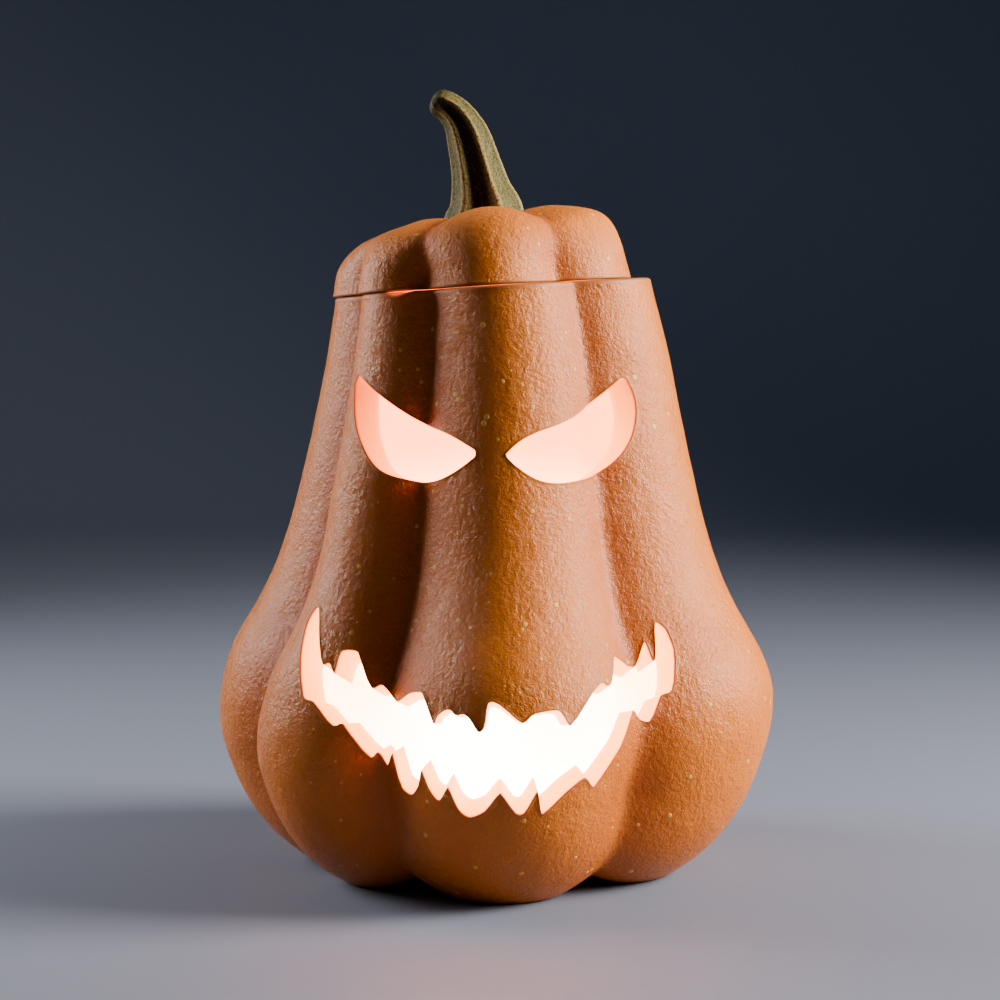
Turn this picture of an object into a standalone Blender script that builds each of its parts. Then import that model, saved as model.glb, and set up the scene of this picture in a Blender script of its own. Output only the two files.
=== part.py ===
# Carved pumpkin lantern: a hollow lobed shell with two slanted eyes and a jagged grin, the lid
# cut from its crown, and the stem that stands on the lid. +Z is up and the face looks along -Y.

import math

import bmesh
import bpy
import numpy as np
from mathutils import Matrix, Vector
from mathutils.geometry import delaunay_2d_cdt

# Sizes below are in millimetres and angles in degrees. MM turns them into metres.
# An azimuth is 0 at the front and grows towards +X. A station is a length along the section.
MM = 0.001

# Round section of the uncut pumpkin, as (radius, height) from the foot's hollow to the stem's seat
SECTION = [(0, 15), (28, 10.5), (50, 1), (64, -1.4), (79, -0.4), (93, 7), (110.5, 25), (122.5, 49), (127, 73),
           (122, 98), (109, 121), (98.5, 146), (90.5, 178), (84.5, 205), (78.5, 234), (73, 260),
           (69, 276), (64.5, 284), (59, 289.3), (50, 292.7), (40, 294.6), (31, 295.2), (27, 294),
           (23.5, 292.4), (20.5, 292), (12, 292), (0, 292)]

# The pumpkin's side, from the fullest part of the foot to the shoulder, lies between these section points
SIDE_START = 6
SIDE_END = 18
SIDE_TABLE = 400
NORMAL_PROBE = 0.5

# Each lobe starts at a groove: (azimuth of the groove, swell of the lobe's belly, swell of its crown)
LOBES = [(-124, 2, -3), (-67, 0, -0.5), (-26, 3, 3.5), (33, 1, 1), (98, 0, 0), (145, 0, -2), (190, 0, -2)]
GROOVE_DEPTH_BELLY = 17.0
GROOVE_DEPTH_CROWN = 11.0
GROOVE_DEPTH_FOOT = 8.0
GROOVE_LEFT_ON_TOP = 0.2
LOBE_ROUNDNESS = 0.75
GROOVE_SOFTNESS = 0.1
SEAT_RADIUS = 22.0
GROOVE_FADE_LENGTH = 22.0
GROOVE_FADE_POWER = 0.8
BELLY_TOP = 190.0
BELLY_FULL = 120.0
SWELL_RADIUS = 60.0
# Heights between which the groove deepens over the foot, shallows up the neck and fades on the crown
FOOT_HEIGHTS = (0.0, 45.0)
NECK_HEIGHTS = (60.0, 260.0)
CROWN_HEIGHTS = (270.0, 293.0)

# The left front groove swings outwards as it runs down over the belly
DRIFT_ANGLE = 4.0
DRIFT_AZIMUTH = -72.0
DRIFT_SPREAD = 30.0
DRIFT_HEIGHTS = (40.0, 110.0)

# Sideways place of the axis at each height, and how much higher the right side stands than the left
AXIS_SHIFT = [(0, -2.5), (57, -2), (85, 0.5), (140, 0.5), (180, 0), (230, -0.3), (295, -4)]
BODY_TILT = 0.055
BODY_TILT_HEIGHTS = (140.0, 270.0)
CROWN_TILT = 0.045
CROWN_TILT_HEIGHTS = (268.0, 292.0)

# Rind and flesh are one wall, and the hollow follows the lobes a little less than the outside does
WALL = 14.5
HOLLOW_FOLLOWS = 0.8

# The cut that frees the lid is a slanted plane
CUT_HEIGHT = 261.3
CUT_RISE_X = 0.062
CUT_RISE_Y = -0.02
SEAM_GAP = 0.3
RIM_ROUND = 2.0
LIP_ROUND = 1.5
INNER_ROUND = 1.0
# The cut is looked for on the side between these heights
CUT_SEARCH = (200.0, 289.0)
CUT_SEARCH_STEPS = 40
# A shallow dip in the rim, through which light shows below the lid
DIP_DEPTH = 1.2
DIP_AZIMUTH = -38.0
DIP_HALF_WIDTH = 6.0

# The lid has dried smaller than the rim and sits a little to the left
LID_SCALE = 0.95
LID_SHIFT = -5.0

# Eyes as stretches between sharp corners: (azimuth, height) points that a smooth curve joins
EYE_LEFT = [
    [(-50, 227), (-38, 216), (-26, 206.5), (-17, 202), (-7, 194)],
    [(-7, 191.5), (-12, 186.5), (-19, 182.5), (-29, 182.5), (-37, 185.5), (-43, 194.5), (-48, 206), (-52, 222.5)],
]
EYE_RIGHT = [
    [(1.5, 191.5), (3.5, 194.5), (17, 203.5), (31, 211.5), (44.5, 222)],
    [(46, 221.5), (48, 212), (46, 200), (41, 191), (33, 184.5), (23, 181), (10, 181.5), (4, 187.5)],
]

# Mouth corners as (azimuth, height): teeth point down from the upper lip and up from the lower one
UPPER_LIP = [(-47.5, 126.5), (-43.5, 114), (-40, 103.5), (-39, 106.5), (-37, 101), (-37.5, 111.5),
             (-34, 113), (-29.5, 98.5), (-28, 103), (-23.5, 93.5), (-20, 98), (-16.5, 98),
             (-13, 82.5), (-12.5, 87.5), (-10, 90.5), (-8.5, 86.5), (-7.5, 88.5), (-6, 86.5),
             (-4, 80), (-3, 82), (-2.5, 93), (-0.5, 92), (4, 83.5), (6, 88), (11, 89.5),
             (13, 82), (18.5, 96.5), (21.5, 101.5), (22.5, 99), (24, 101), (27, 113.5),
             (34, 109.5), (38, 119), (38, 109.5), (39, 111.5), (41.5, 124.5)]
RIGHT_CORNER = [(43.5, 120.5), (43.5, 113), (40, 95)]
LOWER_LIP = [(37.5, 95), (35, 80.5), (32.5, 83), (30, 89.5), (26, 70.5), (24.5, 66.5), (20, 53.5),
             (17.5, 60.5), (13.5, 54.5), (9, 45.5), (8, 57.5), (5.5, 46.5), (4, 47), (1, 57),
             (-2, 47.5), (-5, 44), (-7, 47), (-9, 57.5), (-11, 49), (-12.5, 52), (-15, 63),
             (-15.5, 54.5), (-17.5, 48), (-20, 49.5), (-23, 67), (-24.5, 57.5), (-27, 66),
             (-28, 61.5), (-33.5, 81.5), (-35, 78.5), (-40, 89.5), (-42, 89)]
LEFT_CORNER = [(-43, 93.5), (-47.5, 110), (-49.5, 119), (-49, 124)]
CORNER_ROUND = 1.2
CORNER_SHARE = 0.35
EYE_POINT_SPACING = 5.0
CUTTER_OUTSIDE = 8.0
CUTTER_INSIDE = 36.0
LENGTH_PER_DEGREE = 1.9

# Stem centre line as (x, height, radius over the ridges), from its flared foot to its bent end
STEM_LINE = [(-7.9, 292, 18.8), (-7, 297, 18.3), (-8.2, 303.5, 14.9), (-9.6, 310.5, 12.8),
             (-11.7, 319.5, 11.4), (-14.2, 328.5, 10.3), (-18.4, 337, 8.4), (-23.2, 341.8, 7.3),
             (-27, 343.9, 6.7)]
STEM_FLARE_HEIGHTS = (292.0, 308.0)
STEM_GAP = 0.4
SEAT_PROBE_RADIUS = 15.0
STEM_LEAN_LENGTH = 12.0
STEM_CALM_LENGTH = 12.0
STEM_CALM = 0.6
STEM_END_BULGE = 4.2
STEM_END_TURNS = (35.0, 65.0)
STEM_RIDGES = 6
STEM_RIDGE_AZIMUTH = 24.0
STEM_CHANNEL_DEPTH = 0.16
# One channel is deeper than the others
DEEP_CHANNEL_DEPTH = 0.28
DEEP_CHANNEL_AZIMUTH = -6.0
DEEP_CHANNEL_WIDTH = 24.0
STEM_RIDGE_SHARPNESS = 2.0

# Mesh fineness
SHARP_ANGLE = 50.0
COLUMNS_PER_LOBE = 8
OUTER_ROWS = 30
INNER_ROWS = 14
LID_OUTER_ROWS = 11
LID_INNER_ROWS = 5
ROUND_ROWS = 2
STEM_COLUMNS = 36
STEM_ROWS = 16


def smooth_step(low, high, value):
    """0 below low, 1 above high, and an S curve between."""
    k = np.clip((np.asarray(value, float) - low) / (high - low), 0.0, 1.0)
    return k * k * (3.0 - 2.0 * k)


def cubic_through(stations, values):
    """Natural cubic curve through the values, as a function of the station."""
    x = np.asarray(stations, float)
    y = np.asarray(values, float)
    count = len(x)
    step = np.diff(x)
    matrix = np.eye(count)
    right = np.zeros(count)
    for i in range(1, count - 1):
        matrix[i, i - 1:i + 2] = step[i - 1], 2.0 * (step[i - 1] + step[i]), step[i]
        right[i] = 6.0 * ((y[i + 1] - y[i]) / step[i] - (y[i] - y[i - 1]) / step[i - 1])
    bend = np.linalg.solve(matrix, right)

    def at(t):
        t = np.asarray(t, float)
        i = np.clip(np.searchsorted(x, t) - 1, 0, count - 2)
        a = (x[i + 1] - t) / step[i]
        b = 1.0 - a
        curve = (a ** 3 - a) * bend[i] + (b ** 3 - b) * bend[i + 1]
        return a * y[i] + b * y[i + 1] + curve * step[i] ** 2 / 6.0

    return at


def chord_lengths(points):
    """Length along the points, from the first to each."""
    points = np.asarray(points, float)
    steps = np.linalg.norm(np.diff(points, axis=0), axis=1)
    return np.concatenate([[0.0], np.cumsum(steps)])


STATIONS = chord_lengths(SECTION)
SECTION_LENGTH = STATIONS[-1]
section_radius = cubic_through(STATIONS, [p[0] for p in SECTION])
section_height = cubic_through(STATIONS, [p[1] for p in SECTION])


def section_normal(station):
    """Outward direction of the section, as (radial, upward)."""
    ahead = np.clip(station + NORMAL_PROBE, 0.0, SECTION_LENGTH)
    behind = np.clip(station - NORMAL_PROBE, 0.0, SECTION_LENGTH)
    along_r = section_radius(ahead) - section_radius(behind)
    along_z = section_height(ahead) - section_height(behind)
    length = np.hypot(along_r, along_z)
    return along_z / length, -along_r / length


def station_of_height(height):
    """Station on the pumpkin's side that has this height."""
    table = np.linspace(STATIONS[SIDE_START], STATIONS[SIDE_END], SIDE_TABLE)
    return np.interp(height, section_height(table), table)


def lobe_relief(azimuth, station):
    """How far the outer surface stands off the round section: below 0 in the grooves."""
    starts = np.array([lobe[0] for lobe in LOBES] + [LOBES[0][0] + 360.0])
    belly_swell = np.array([lobe[1] for lobe in LOBES], float)
    crown_swell = np.array([lobe[2] for lobe in LOBES], float)
    turned = (np.asarray(azimuth, float) - starts[0]) % 360.0 + starts[0]
    index = np.clip(np.searchsorted(starts, turned, side="right") - 1, 0, len(LOBES) - 1)
    across = (turned - starts[index]) / (starts[index + 1] - starts[index])
    arch = np.sin(math.pi * np.clip(across, 0.0, 1.0)) ** 2
    floor = GROOVE_SOFTNESS ** LOBE_ROUNDNESS
    bulge = (arch + GROOVE_SOFTNESS ** 2) ** (LOBE_ROUNDNESS / 2.0) - floor
    bulge = bulge / ((1.0 + GROOVE_SOFTNESS ** 2) ** (LOBE_ROUNDNESS / 2.0) - floor)
    height = section_height(station)
    radius = section_radius(station)
    on_crown = smooth_step(*CROWN_HEIGHTS, height)
    depth = GROOVE_DEPTH_BELLY + (GROOVE_DEPTH_CROWN - GROOVE_DEPTH_BELLY) * smooth_step(*NECK_HEIGHTS, height)
    depth = GROOVE_DEPTH_FOOT + (depth - GROOVE_DEPTH_FOOT) * smooth_step(*FOOT_HEIGHTS, height)
    depth = depth * (1.0 - (1.0 - GROOVE_LEFT_ON_TOP) * on_crown)
    fade = np.clip((radius - SEAT_RADIUS) / GROOVE_FADE_LENGTH, 0.0, 1.0) ** GROOVE_FADE_POWER
    belly = (1.0 - smooth_step(BELLY_FULL, BELLY_TOP, height)) * np.clip(radius / SWELL_RADIUS, 0.0, 1.0)
    crown = on_crown * fade
    swell = belly_swell[index] * belly + crown_swell[index] * crown
    return swell * bulge - depth * fade * (1.0 - bulge)


def place(azimuth, station, offset):
    """Point at an azimuth and a station, moved outwards from the round section by the offset."""
    out_r, out_z = section_normal(station)
    height = section_height(station)
    radius = section_radius(station) + offset * out_r
    z = height + offset * out_z
    drift = DRIFT_ANGLE * (1.0 - smooth_step(*DRIFT_HEIGHTS, height))
    near = np.exp(-((azimuth - DRIFT_AZIMUTH) / DRIFT_SPREAD) ** 2)
    angle = np.radians(azimuth - drift * near)
    heights = [p[0] for p in AXIS_SHIFT]
    shifts = [p[1] for p in AXIS_SHIFT]
    x = radius * np.sin(angle) + np.interp(z, heights, shifts)
    y = -radius * np.cos(angle)
    tilt = BODY_TILT * smooth_step(*BODY_TILT_HEIGHTS, z) + CROWN_TILT * smooth_step(*CROWN_TILT_HEIGHTS, z)
    return np.stack([x, y, z + tilt * x], axis=-1)


def outside(azimuth, station):
    """Point of the skin. The foot is flattened where the pumpkin stands."""
    point = place(azimuth, station, lobe_relief(azimuth, station))
    point[..., 2] = np.maximum(point[..., 2], 0.0)
    return point


def inside(azimuth, station):
    """Point of the hollow's surface."""
    return place(azimuth, station, HOLLOW_FOLLOWS * lobe_relief(azimuth, station) - WALL)


def cut_height(x, y):
    """Height of the plane that cuts the lid free."""
    return CUT_HEIGHT + CUT_RISE_X * x + CUT_RISE_Y * y


def rim_dip(azimuth):
    """Depth of the dip in the rim at an azimuth."""
    across = np.clip((azimuth - DIP_AZIMUTH) / DIP_HALF_WIDTH, -1.0, 1.0)
    return DIP_DEPTH * np.cos(across * math.pi / 2.0) ** 2


def station_at_cut(surface, azimuth, lift):
    """Station where a surface meets the cutting plane raised by the lift."""
    low, high = (station_of_height(np.full_like(azimuth, height)) for height in CUT_SEARCH)
    for _ in range(CUT_SEARCH_STEPS):
        middle = (low + high) / 2.0
        point = surface(azimuth, middle)
        above = point[..., 2] > cut_height(point[..., 0], point[..., 1]) + lift
        high = np.where(above, middle, high)
        low = np.where(above, low, middle)
    return (low + high) / 2.0


def lobe_columns(per_lobe):
    """Azimuths of the mesh columns, with one column in every groove."""
    columns = []
    starts = [lobe[0] for lobe in LOBES] + [LOBES[0][0] + 360.0]
    for start, end in zip(starts, starts[1:]):
        columns += [start + (end - start) * k / per_lobe for k in range(per_lobe)]
    return np.array(columns)


def rounded_corner(before, corner, after, rows):
    """Rows of points that round a corner, from before to after."""
    points = []
    for k in range(rows + 1):
        t = k / rows
        points.append((1 - t) ** 2 * before + 2 * t * (1 - t) * corner + t ** 2 * after)
    return points


def towards(start, end, distance):
    """Point at a distance from start on the way to end."""
    way = end - start
    return start + way * (distance / np.linalg.norm(way, axis=-1, keepdims=True))


def shell_rows(azimuth):
    """Rows of the shell: up the skin, over the rim and down the hollow."""
    lift = -rim_dip(azimuth)
    rim = station_at_cut(outside, azimuth, lift)
    brink = station_at_cut(inside, azimuth, lift)
    corner = outside(azimuth, rim)
    inner_corner = inside(azimuth, brink)
    rows = [outside(azimuth, (rim - RIM_ROUND) * k / OUTER_ROWS) for k in range(1, OUTER_ROWS)]
    rows += rounded_corner(outside(azimuth, rim - RIM_ROUND), corner,
                           towards(corner, inner_corner, RIM_ROUND), ROUND_ROWS)
    rows += rounded_corner(towards(inner_corner, corner, INNER_ROUND), inner_corner,
                           inside(azimuth, brink - INNER_ROUND), 1)
    rows += [inside(azimuth, (brink - INNER_ROUND) * k / INNER_ROWS) for k in range(INNER_ROWS - 1, 0, -1)]
    ends = [outside(0.0, np.float64(0.0)), inside(0.0, np.float64(0.0))]
    return ends[0], rows, ends[1]


def settle_lid(point):
    """Shrink and shift a point of the lid while it stays at its height over the cut."""
    x = LID_SCALE * point[..., 0] + LID_SHIFT
    y = LID_SCALE * point[..., 1]
    z = point[..., 2] + cut_height(x, y) - cut_height(point[..., 0], point[..., 1])
    return np.stack([x, y, z], axis=-1)


def lid_rows(azimuth):
    """Rows of the lid: down its hollow underside, round the lip and up the skin."""
    lip = station_at_cut(outside, azimuth, SEAM_GAP)
    brink = station_at_cut(inside, azimuth, SEAM_GAP)
    corner = outside(azimuth, lip)
    inner_corner = inside(azimuth, brink)
    start = brink + INNER_ROUND
    rows = [inside(azimuth, SECTION_LENGTH + (start - SECTION_LENGTH) * k / LID_INNER_ROWS)
            for k in range(1, LID_INNER_ROWS)]
    rows += rounded_corner(inside(azimuth, start), inner_corner,
                           towards(inner_corner, corner, INNER_ROUND), 1)
    start = lip + LIP_ROUND
    rows += rounded_corner(towards(corner, inner_corner, LIP_ROUND), corner, outside(azimuth, start), ROUND_ROWS)
    rows += [outside(azimuth, start + (SECTION_LENGTH - start) * k / LID_OUTER_ROWS)
             for k in range(1, LID_OUTER_ROWS)]
    top = np.float64(SECTION_LENGTH)
    first, last = inside(0.0, top), outside(0.0, top)
    return settle_lid(first), [settle_lid(row) for row in rows], settle_lid(last)


def stem_rows(azimuth):
    """Rows of the stem: out over its flat foot, up its ridged side and round the knob."""
    line = np.array(STEM_LINE)
    along = chord_lengths(line[:, :2])
    centre_x = cubic_through(along, line[:, 0])
    centre_z = cubic_through(along, line[:, 1])
    girth = cubic_through(along, line[:, 2])
    angle = np.radians(azimuth)
    wave = np.cos(np.radians(STEM_RIDGES * (azimuth - STEM_RIDGE_AZIMUTH)))
    from_deep = (azimuth - DEEP_CHANNEL_AZIMUTH + 180.0) % 360.0 - 180.0
    depth = STEM_CHANNEL_DEPTH + DEEP_CHANNEL_DEPTH * np.exp(-(from_deep / DEEP_CHANNEL_WIDTH) ** 2)
    channel = depth * (1.0 - ((1.0 + wave) / 2.0) ** STEM_RIDGE_SHARPNESS)

    def ring(t, radius, ahead=0.0, strength=1.0):
        ahead_x = centre_x(t + NORMAL_PROBE) - centre_x(t - NORMAL_PROBE)
        ahead_z = centre_z(t + NORMAL_PROBE) - centre_z(t - NORMAL_PROBE)
        lean = math.atan2(ahead_x, ahead_z)
        lean = lean * float(smooth_step(0.0, STEM_LEAN_LENGTH, t))
        spread = radius * (1.0 - channel * strength)
        side = spread * np.sin(angle)
        x = centre_x(t) + side * math.cos(lean) + ahead * math.sin(lean)
        z = centre_z(t) - side * math.sin(lean) + ahead * math.cos(lean)
        return np.stack([x, -spread * np.cos(angle), z + 0.0 * side], axis=-1)

    length = along[-1]
    rows = [ring(0.0, STEM_LINE[0][2] / 2.0)]
    for k in range(STEM_ROWS + 1):
        t = length * k / STEM_ROWS
        calm = STEM_CALM * float(smooth_step(length - STEM_CALM_LENGTH, length, t))
        rows.append(ring(t, girth(t), strength=1.0 - calm))
    for turn in np.radians(STEM_END_TURNS):
        end_radius = STEM_LINE[-1][2] * math.cos(turn)
        rows.append(ring(length, end_radius, STEM_END_BULGE * math.sin(turn), 1.0 - STEM_CALM))
    first = ring(0.0, 0.0)[0]
    last = ring(length, 0.0, STEM_END_BULGE)[0]
    return first, rows, last


def seat_height(x):
    """Height of the flat seat on the lid, which slopes with the crown."""
    sides = settle_lid(outside(np.array([-90.0, 90.0]), np.full(2, SECTION_LENGTH - SEAT_PROBE_RADIUS)))
    slope = (sides[1][2] - sides[0][2]) / (sides[1][0] - sides[0][0])
    return sides[0][2] + slope * (x - sides[0][0])


def stem_on_lid(rows):
    """Lay the stem's rows on the lid: the foot takes the slope of the seat."""
    first, middle, last = rows

    def laid(point):
        point = np.array(point)
        rise = seat_height(point[..., 0]) + STEM_GAP - STEM_LINE[0][1]
        point[..., 2] += rise * (1.0 - smooth_step(*STEM_FLARE_HEIGHTS, point[..., 2]))
        return point

    return laid(first), [laid(row) for row in middle], laid(last)


def sphere_object(name, rows, columns, collection, material):
    """Ball whose rings are moved onto the rows, from its lower pole to its upper one."""
    first, middle, last = rows
    rings = len(middle) + 1
    segments = len(columns)
    mesh = bpy.data.meshes.new(name)
    ball = bmesh.new()
    bmesh.ops.create_uvsphere(ball, u_segments=segments, v_segments=rings, radius=1.0)
    for vertex in ball.verts:
        x, y, z = vertex.co
        ring = rings - round(math.acos(max(-1.0, min(1.0, z))) / math.pi * rings)
        column = round(math.atan2(x, -y) / math.tau * segments) % segments
        if ring == 0:
            point = first
        elif ring == rings:
            point = last
        else:
            point = middle[ring - 1][column]
        vertex.co = Vector(point) * MM
    bmesh.ops.triangulate(ball, faces=ball.faces, quad_method="SHORT_EDGE")
    ball.to_mesh(mesh)
    ball.free()
    mesh.materials.append(material)
    mesh.shade_smooth()
    mesh.set_sharp_from_angle(angle=math.radians(SHARP_ANGLE))
    item = bpy.data.objects.new(name, mesh)
    collection.objects.link(item)
    return item


def rounded_outline(corners):
    """Closed outline with each corner cut back, so that no tooth ends in a needle."""
    points = []
    count = len(corners)
    flat = [Vector((azimuth * LENGTH_PER_DEGREE, height)) for azimuth, height in corners]
    for i, here in enumerate(flat):
        for other in (flat[i - 1], flat[(i + 1) % count]):
            way = other - here
            points.append(here + way.normalized() * min(CORNER_ROUND, way.length * CORNER_SHARE))
    return [(p.x / LENGTH_PER_DEGREE, p.y) for p in points]


def curved_outline(stretches):
    """Closed outline that runs smoothly through each stretch and turns a corner between them."""
    points = []
    for stretch in stretches:
        flat = np.array(stretch, float) * (LENGTH_PER_DEGREE, 1.0)
        along = chord_lengths(flat)
        count = max(3, round(along[-1] / EYE_POINT_SPACING))
        t = np.linspace(0.0, along[-1], count + 1)
        azimuths = cubic_through(along, flat[:, 0])(t) / LENGTH_PER_DEGREE
        heights = cubic_through(along, flat[:, 1])(t)
        points += list(zip(azimuths, heights))
    return points


def cutter_object(name, outline, collection):
    """Closed body through the wall: the outline lofted from outside the skin into the hollow."""
    flat = [Vector((azimuth * LENGTH_PER_DEGREE, height)) for azimuth, height in outline]
    loop = list(range(len(flat)))
    faces = delaunay_2d_cdt(flat, [], [loop[::-1]], 1, 1e-6)[2]
    azimuths = np.array([p[0] for p in outline])
    stations = station_of_height(np.array([p[1] for p in outline]))
    body = bmesh.new()
    outer = [body.verts.new(Vector(p) * MM) for p in place(azimuths, stations, CUTTER_OUTSIDE)]
    inner = [body.verts.new(Vector(p) * MM) for p in place(azimuths, stations, -CUTTER_INSIDE)]
    for face in faces:
        body.faces.new([outer[i] for i in face])
        body.faces.new([inner[i] for i in reversed(face)])
    for i in loop:
        j = (i + 1) % len(loop)
        body.faces.new((outer[i], outer[j], inner[j], inner[i]))
    bmesh.ops.triangulate(body, faces=body.faces)
    bmesh.ops.recalc_face_normals(body, faces=body.faces)
    mesh = bpy.data.meshes.new(name)
    body.to_mesh(mesh)
    body.free()
    item = bpy.data.objects.new(name, mesh)
    item.hide_render = True
    item.display_type = "WIRE"
    collection.objects.link(item)
    return item


def carve(item, cutter):
    """Cut the cutter's body out of the item."""
    cut = item.modifiers.new(cutter.name, "BOOLEAN")
    cut.operation = "DIFFERENCE"
    cut.solver = "EXACT"
    cut.object = cutter


def principled(name, colour, roughness):
    """Plain surface of one colour."""
    material = bpy.data.materials.new(name)
    material.use_nodes = True
    shader = material.node_tree.nodes["Principled BSDF"]
    shader.inputs["Base Color"].default_value = (*colour, 1.0)
    shader.inputs["Roughness"].default_value = roughness
    shader.inputs["Metallic"].default_value = 0.0
    material.diffuse_color = (*colour, 1.0)
    return material


def centre_on_origin(shell, others):
    """Move the meshes so that the middle of the carved shell's box stands over the origin."""
    bpy.context.view_layer.update()
    carved = shell.evaluated_get(bpy.context.evaluated_depsgraph_get())
    corners = [Vector(corner) for corner in carved.bound_box]
    middle_x = (min(c.x for c in corners) + max(c.x for c in corners)) / 2.0
    middle_y = (min(c.y for c in corners) + max(c.y for c in corners)) / 2.0
    for item in [shell] + others:
        item.data.transform(Matrix.Translation((-middle_x, -middle_y, 0.0)))


def clear_scene():
    """Remove every object of the open file."""
    for item in list(bpy.data.objects):
        bpy.data.objects.remove(item, do_unlink=True)


def build():
    """Make the shell, the lid and the stem, and carve the face."""
    clear_scene()
    parts = bpy.data.collections.new("pumpkin_lantern")
    cutters = bpy.data.collections.new("pumpkin_lantern_cutters")
    bpy.context.scene.collection.children.link(parts)
    bpy.context.scene.collection.children.link(cutters)

    columns = lobe_columns(COLUMNS_PER_LOBE)
    rind = principled("pumpkin_rind", (0.50, 0.17, 0.035), 0.45)
    lid_rind = principled("pumpkin_lid_rind", (0.53, 0.19, 0.045), 0.45)
    bark = principled("pumpkin_stem_bark", (0.25, 0.22, 0.09), 0.75)

    shell = sphere_object("shell", shell_rows(columns), columns, parts, rind)
    lid = sphere_object("lid", lid_rows(columns), columns, parts, lid_rind)
    stem_columns = np.arange(STEM_COLUMNS) * 360.0 / STEM_COLUMNS
    stem = sphere_object("stem", stem_on_lid(stem_rows(stem_columns)), stem_columns, parts, bark)

    mouth = UPPER_LIP + RIGHT_CORNER + LOWER_LIP + LEFT_CORNER
    carvings = [
        cutter_object("eye_left_cutter", curved_outline(EYE_LEFT), cutters),
        cutter_object("eye_right_cutter", curved_outline(EYE_RIGHT), cutters),
        cutter_object("mouth_cutter", rounded_outline(mouth), cutters),
    ]
    for cutter in carvings:
        carve(shell, cutter)
    centre_on_origin(shell, [lid, stem] + carvings)


build()
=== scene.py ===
"""Looks of the carved pumpkin lantern: its lobed skin, the cut and glowing flesh, the lid and the stem.

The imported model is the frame. Sizes here are in millimetres and angles in degrees, in the pumpkin's own
place, until a mesh is made: then they turn into the frame's metres.
"""

import math

import bpy
import numpy as np
from bpy.props import FloatProperty, FloatVectorProperty, IntProperty, PointerProperty
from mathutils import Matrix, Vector
from mathutils.geometry import delaunay_2d_cdt


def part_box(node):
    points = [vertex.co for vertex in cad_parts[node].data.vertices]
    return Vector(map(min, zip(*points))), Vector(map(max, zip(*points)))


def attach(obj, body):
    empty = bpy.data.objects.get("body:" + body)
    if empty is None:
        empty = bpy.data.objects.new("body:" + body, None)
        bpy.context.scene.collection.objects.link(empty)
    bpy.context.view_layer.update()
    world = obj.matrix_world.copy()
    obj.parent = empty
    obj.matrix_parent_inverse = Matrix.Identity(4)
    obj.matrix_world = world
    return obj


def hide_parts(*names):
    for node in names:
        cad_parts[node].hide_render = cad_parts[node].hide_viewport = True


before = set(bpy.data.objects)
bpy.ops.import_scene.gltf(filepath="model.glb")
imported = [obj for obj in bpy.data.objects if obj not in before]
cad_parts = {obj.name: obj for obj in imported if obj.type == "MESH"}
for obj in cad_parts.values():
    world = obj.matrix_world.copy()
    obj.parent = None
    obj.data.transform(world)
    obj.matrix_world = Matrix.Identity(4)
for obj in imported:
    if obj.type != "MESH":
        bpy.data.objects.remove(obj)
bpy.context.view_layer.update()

bl_info = {
    "name": "Carved pumpkin lantern",
    "version": (1, 0, 0),
    "blender": (4, 5, 0),
    "location": "View3D > Sidebar > Lantern",
    "description": "Builds the skin, flesh, lid and stem of a carved pumpkin lantern",
    "category": "Object",
}

MM = 0.001

# Round section of the uncut pumpkin, as (radius, height) from the foot's hollow to the stem's seat
SECTION = [(0, 15), (28, 10.5), (50, 1), (64, -1.4), (79, -0.4), (93, 7), (110.5, 25), (122.5, 49), (127, 73),
           (122, 98), (109, 121), (98.5, 146), (90.5, 178), (84.5, 205), (78.5, 234), (73, 260),
           (69, 276), (64.5, 284), (59, 289.3), (50, 292.7), (40, 294.6), (31, 295.2), (27, 294),
           (23.5, 292.4), (20.5, 292), (12, 292), (0, 292)]

# The pumpkin's side lies between these section points
SIDE_START = 6
SIDE_END = 18
SIDE_TABLE = 400
NORMAL_PROBE = 0.5

# Each lobe starts at a groove: (azimuth of the groove, swell of the lobe's belly, swell of its crown)
LOBES = [(-124, 2, -3), (-67, 0, -0.5), (-26, 3, 3.5), (33, 1, 1), (98, 0, 0), (145, 0, -2), (190, 0, -2)]
LOBE_STARTS = [lobe[0] for lobe in LOBES] + [LOBES[0][0] + 360.0]
GROOVE_DEPTH_BELLY = 17.0
GROOVE_DEPTH_CROWN = 11.0
GROOVE_DEPTH_FOOT = 8.0
GROOVE_LEFT_ON_TOP = 0.2
LOBE_ROUNDNESS = 0.75
GROOVE_SOFTNESS = 0.1
SEAT_RADIUS = 22.0
GROOVE_FADE_LENGTH = 22.0
GROOVE_FADE_POWER = 0.8
SWELL_RADIUS = 60.0
BELLY_FULL = 120.0
BELLY_TOP = 190.0
NECK_HEIGHTS = (60.0, 260.0)
FOOT_HEIGHTS = (0.0, 45.0)
CROWN_HEIGHTS = (270.0, 293.0)

# The left front groove swings outwards as it runs down over the belly
DRIFT_ANGLE = 4.0
DRIFT_AZIMUTH = -72.0
DRIFT_SPREAD = 30.0
DRIFT_HEIGHTS = (40.0, 110.0)

# Sideways place of the axis at each height, and how much higher the right side stands than the left
AXIS_SHIFT = [(0, -2.5), (57, -2), (85, 0.5), (140, 0.5), (180, 0), (230, -0.3), (295, -4)]
BODY_TILT = 0.055
BODY_TILT_HEIGHTS = (140.0, 270.0)
CROWN_TILT = 0.045
CROWN_TILT_HEIGHTS = (268.0, 292.0)

# The skin lies a little inside the solid's facets, so that no dent or speck leaves the solid's box
SKIN_INSET = 0.3
WALL = 14.5
HOLLOW_FOLLOWS = 0.8

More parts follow.
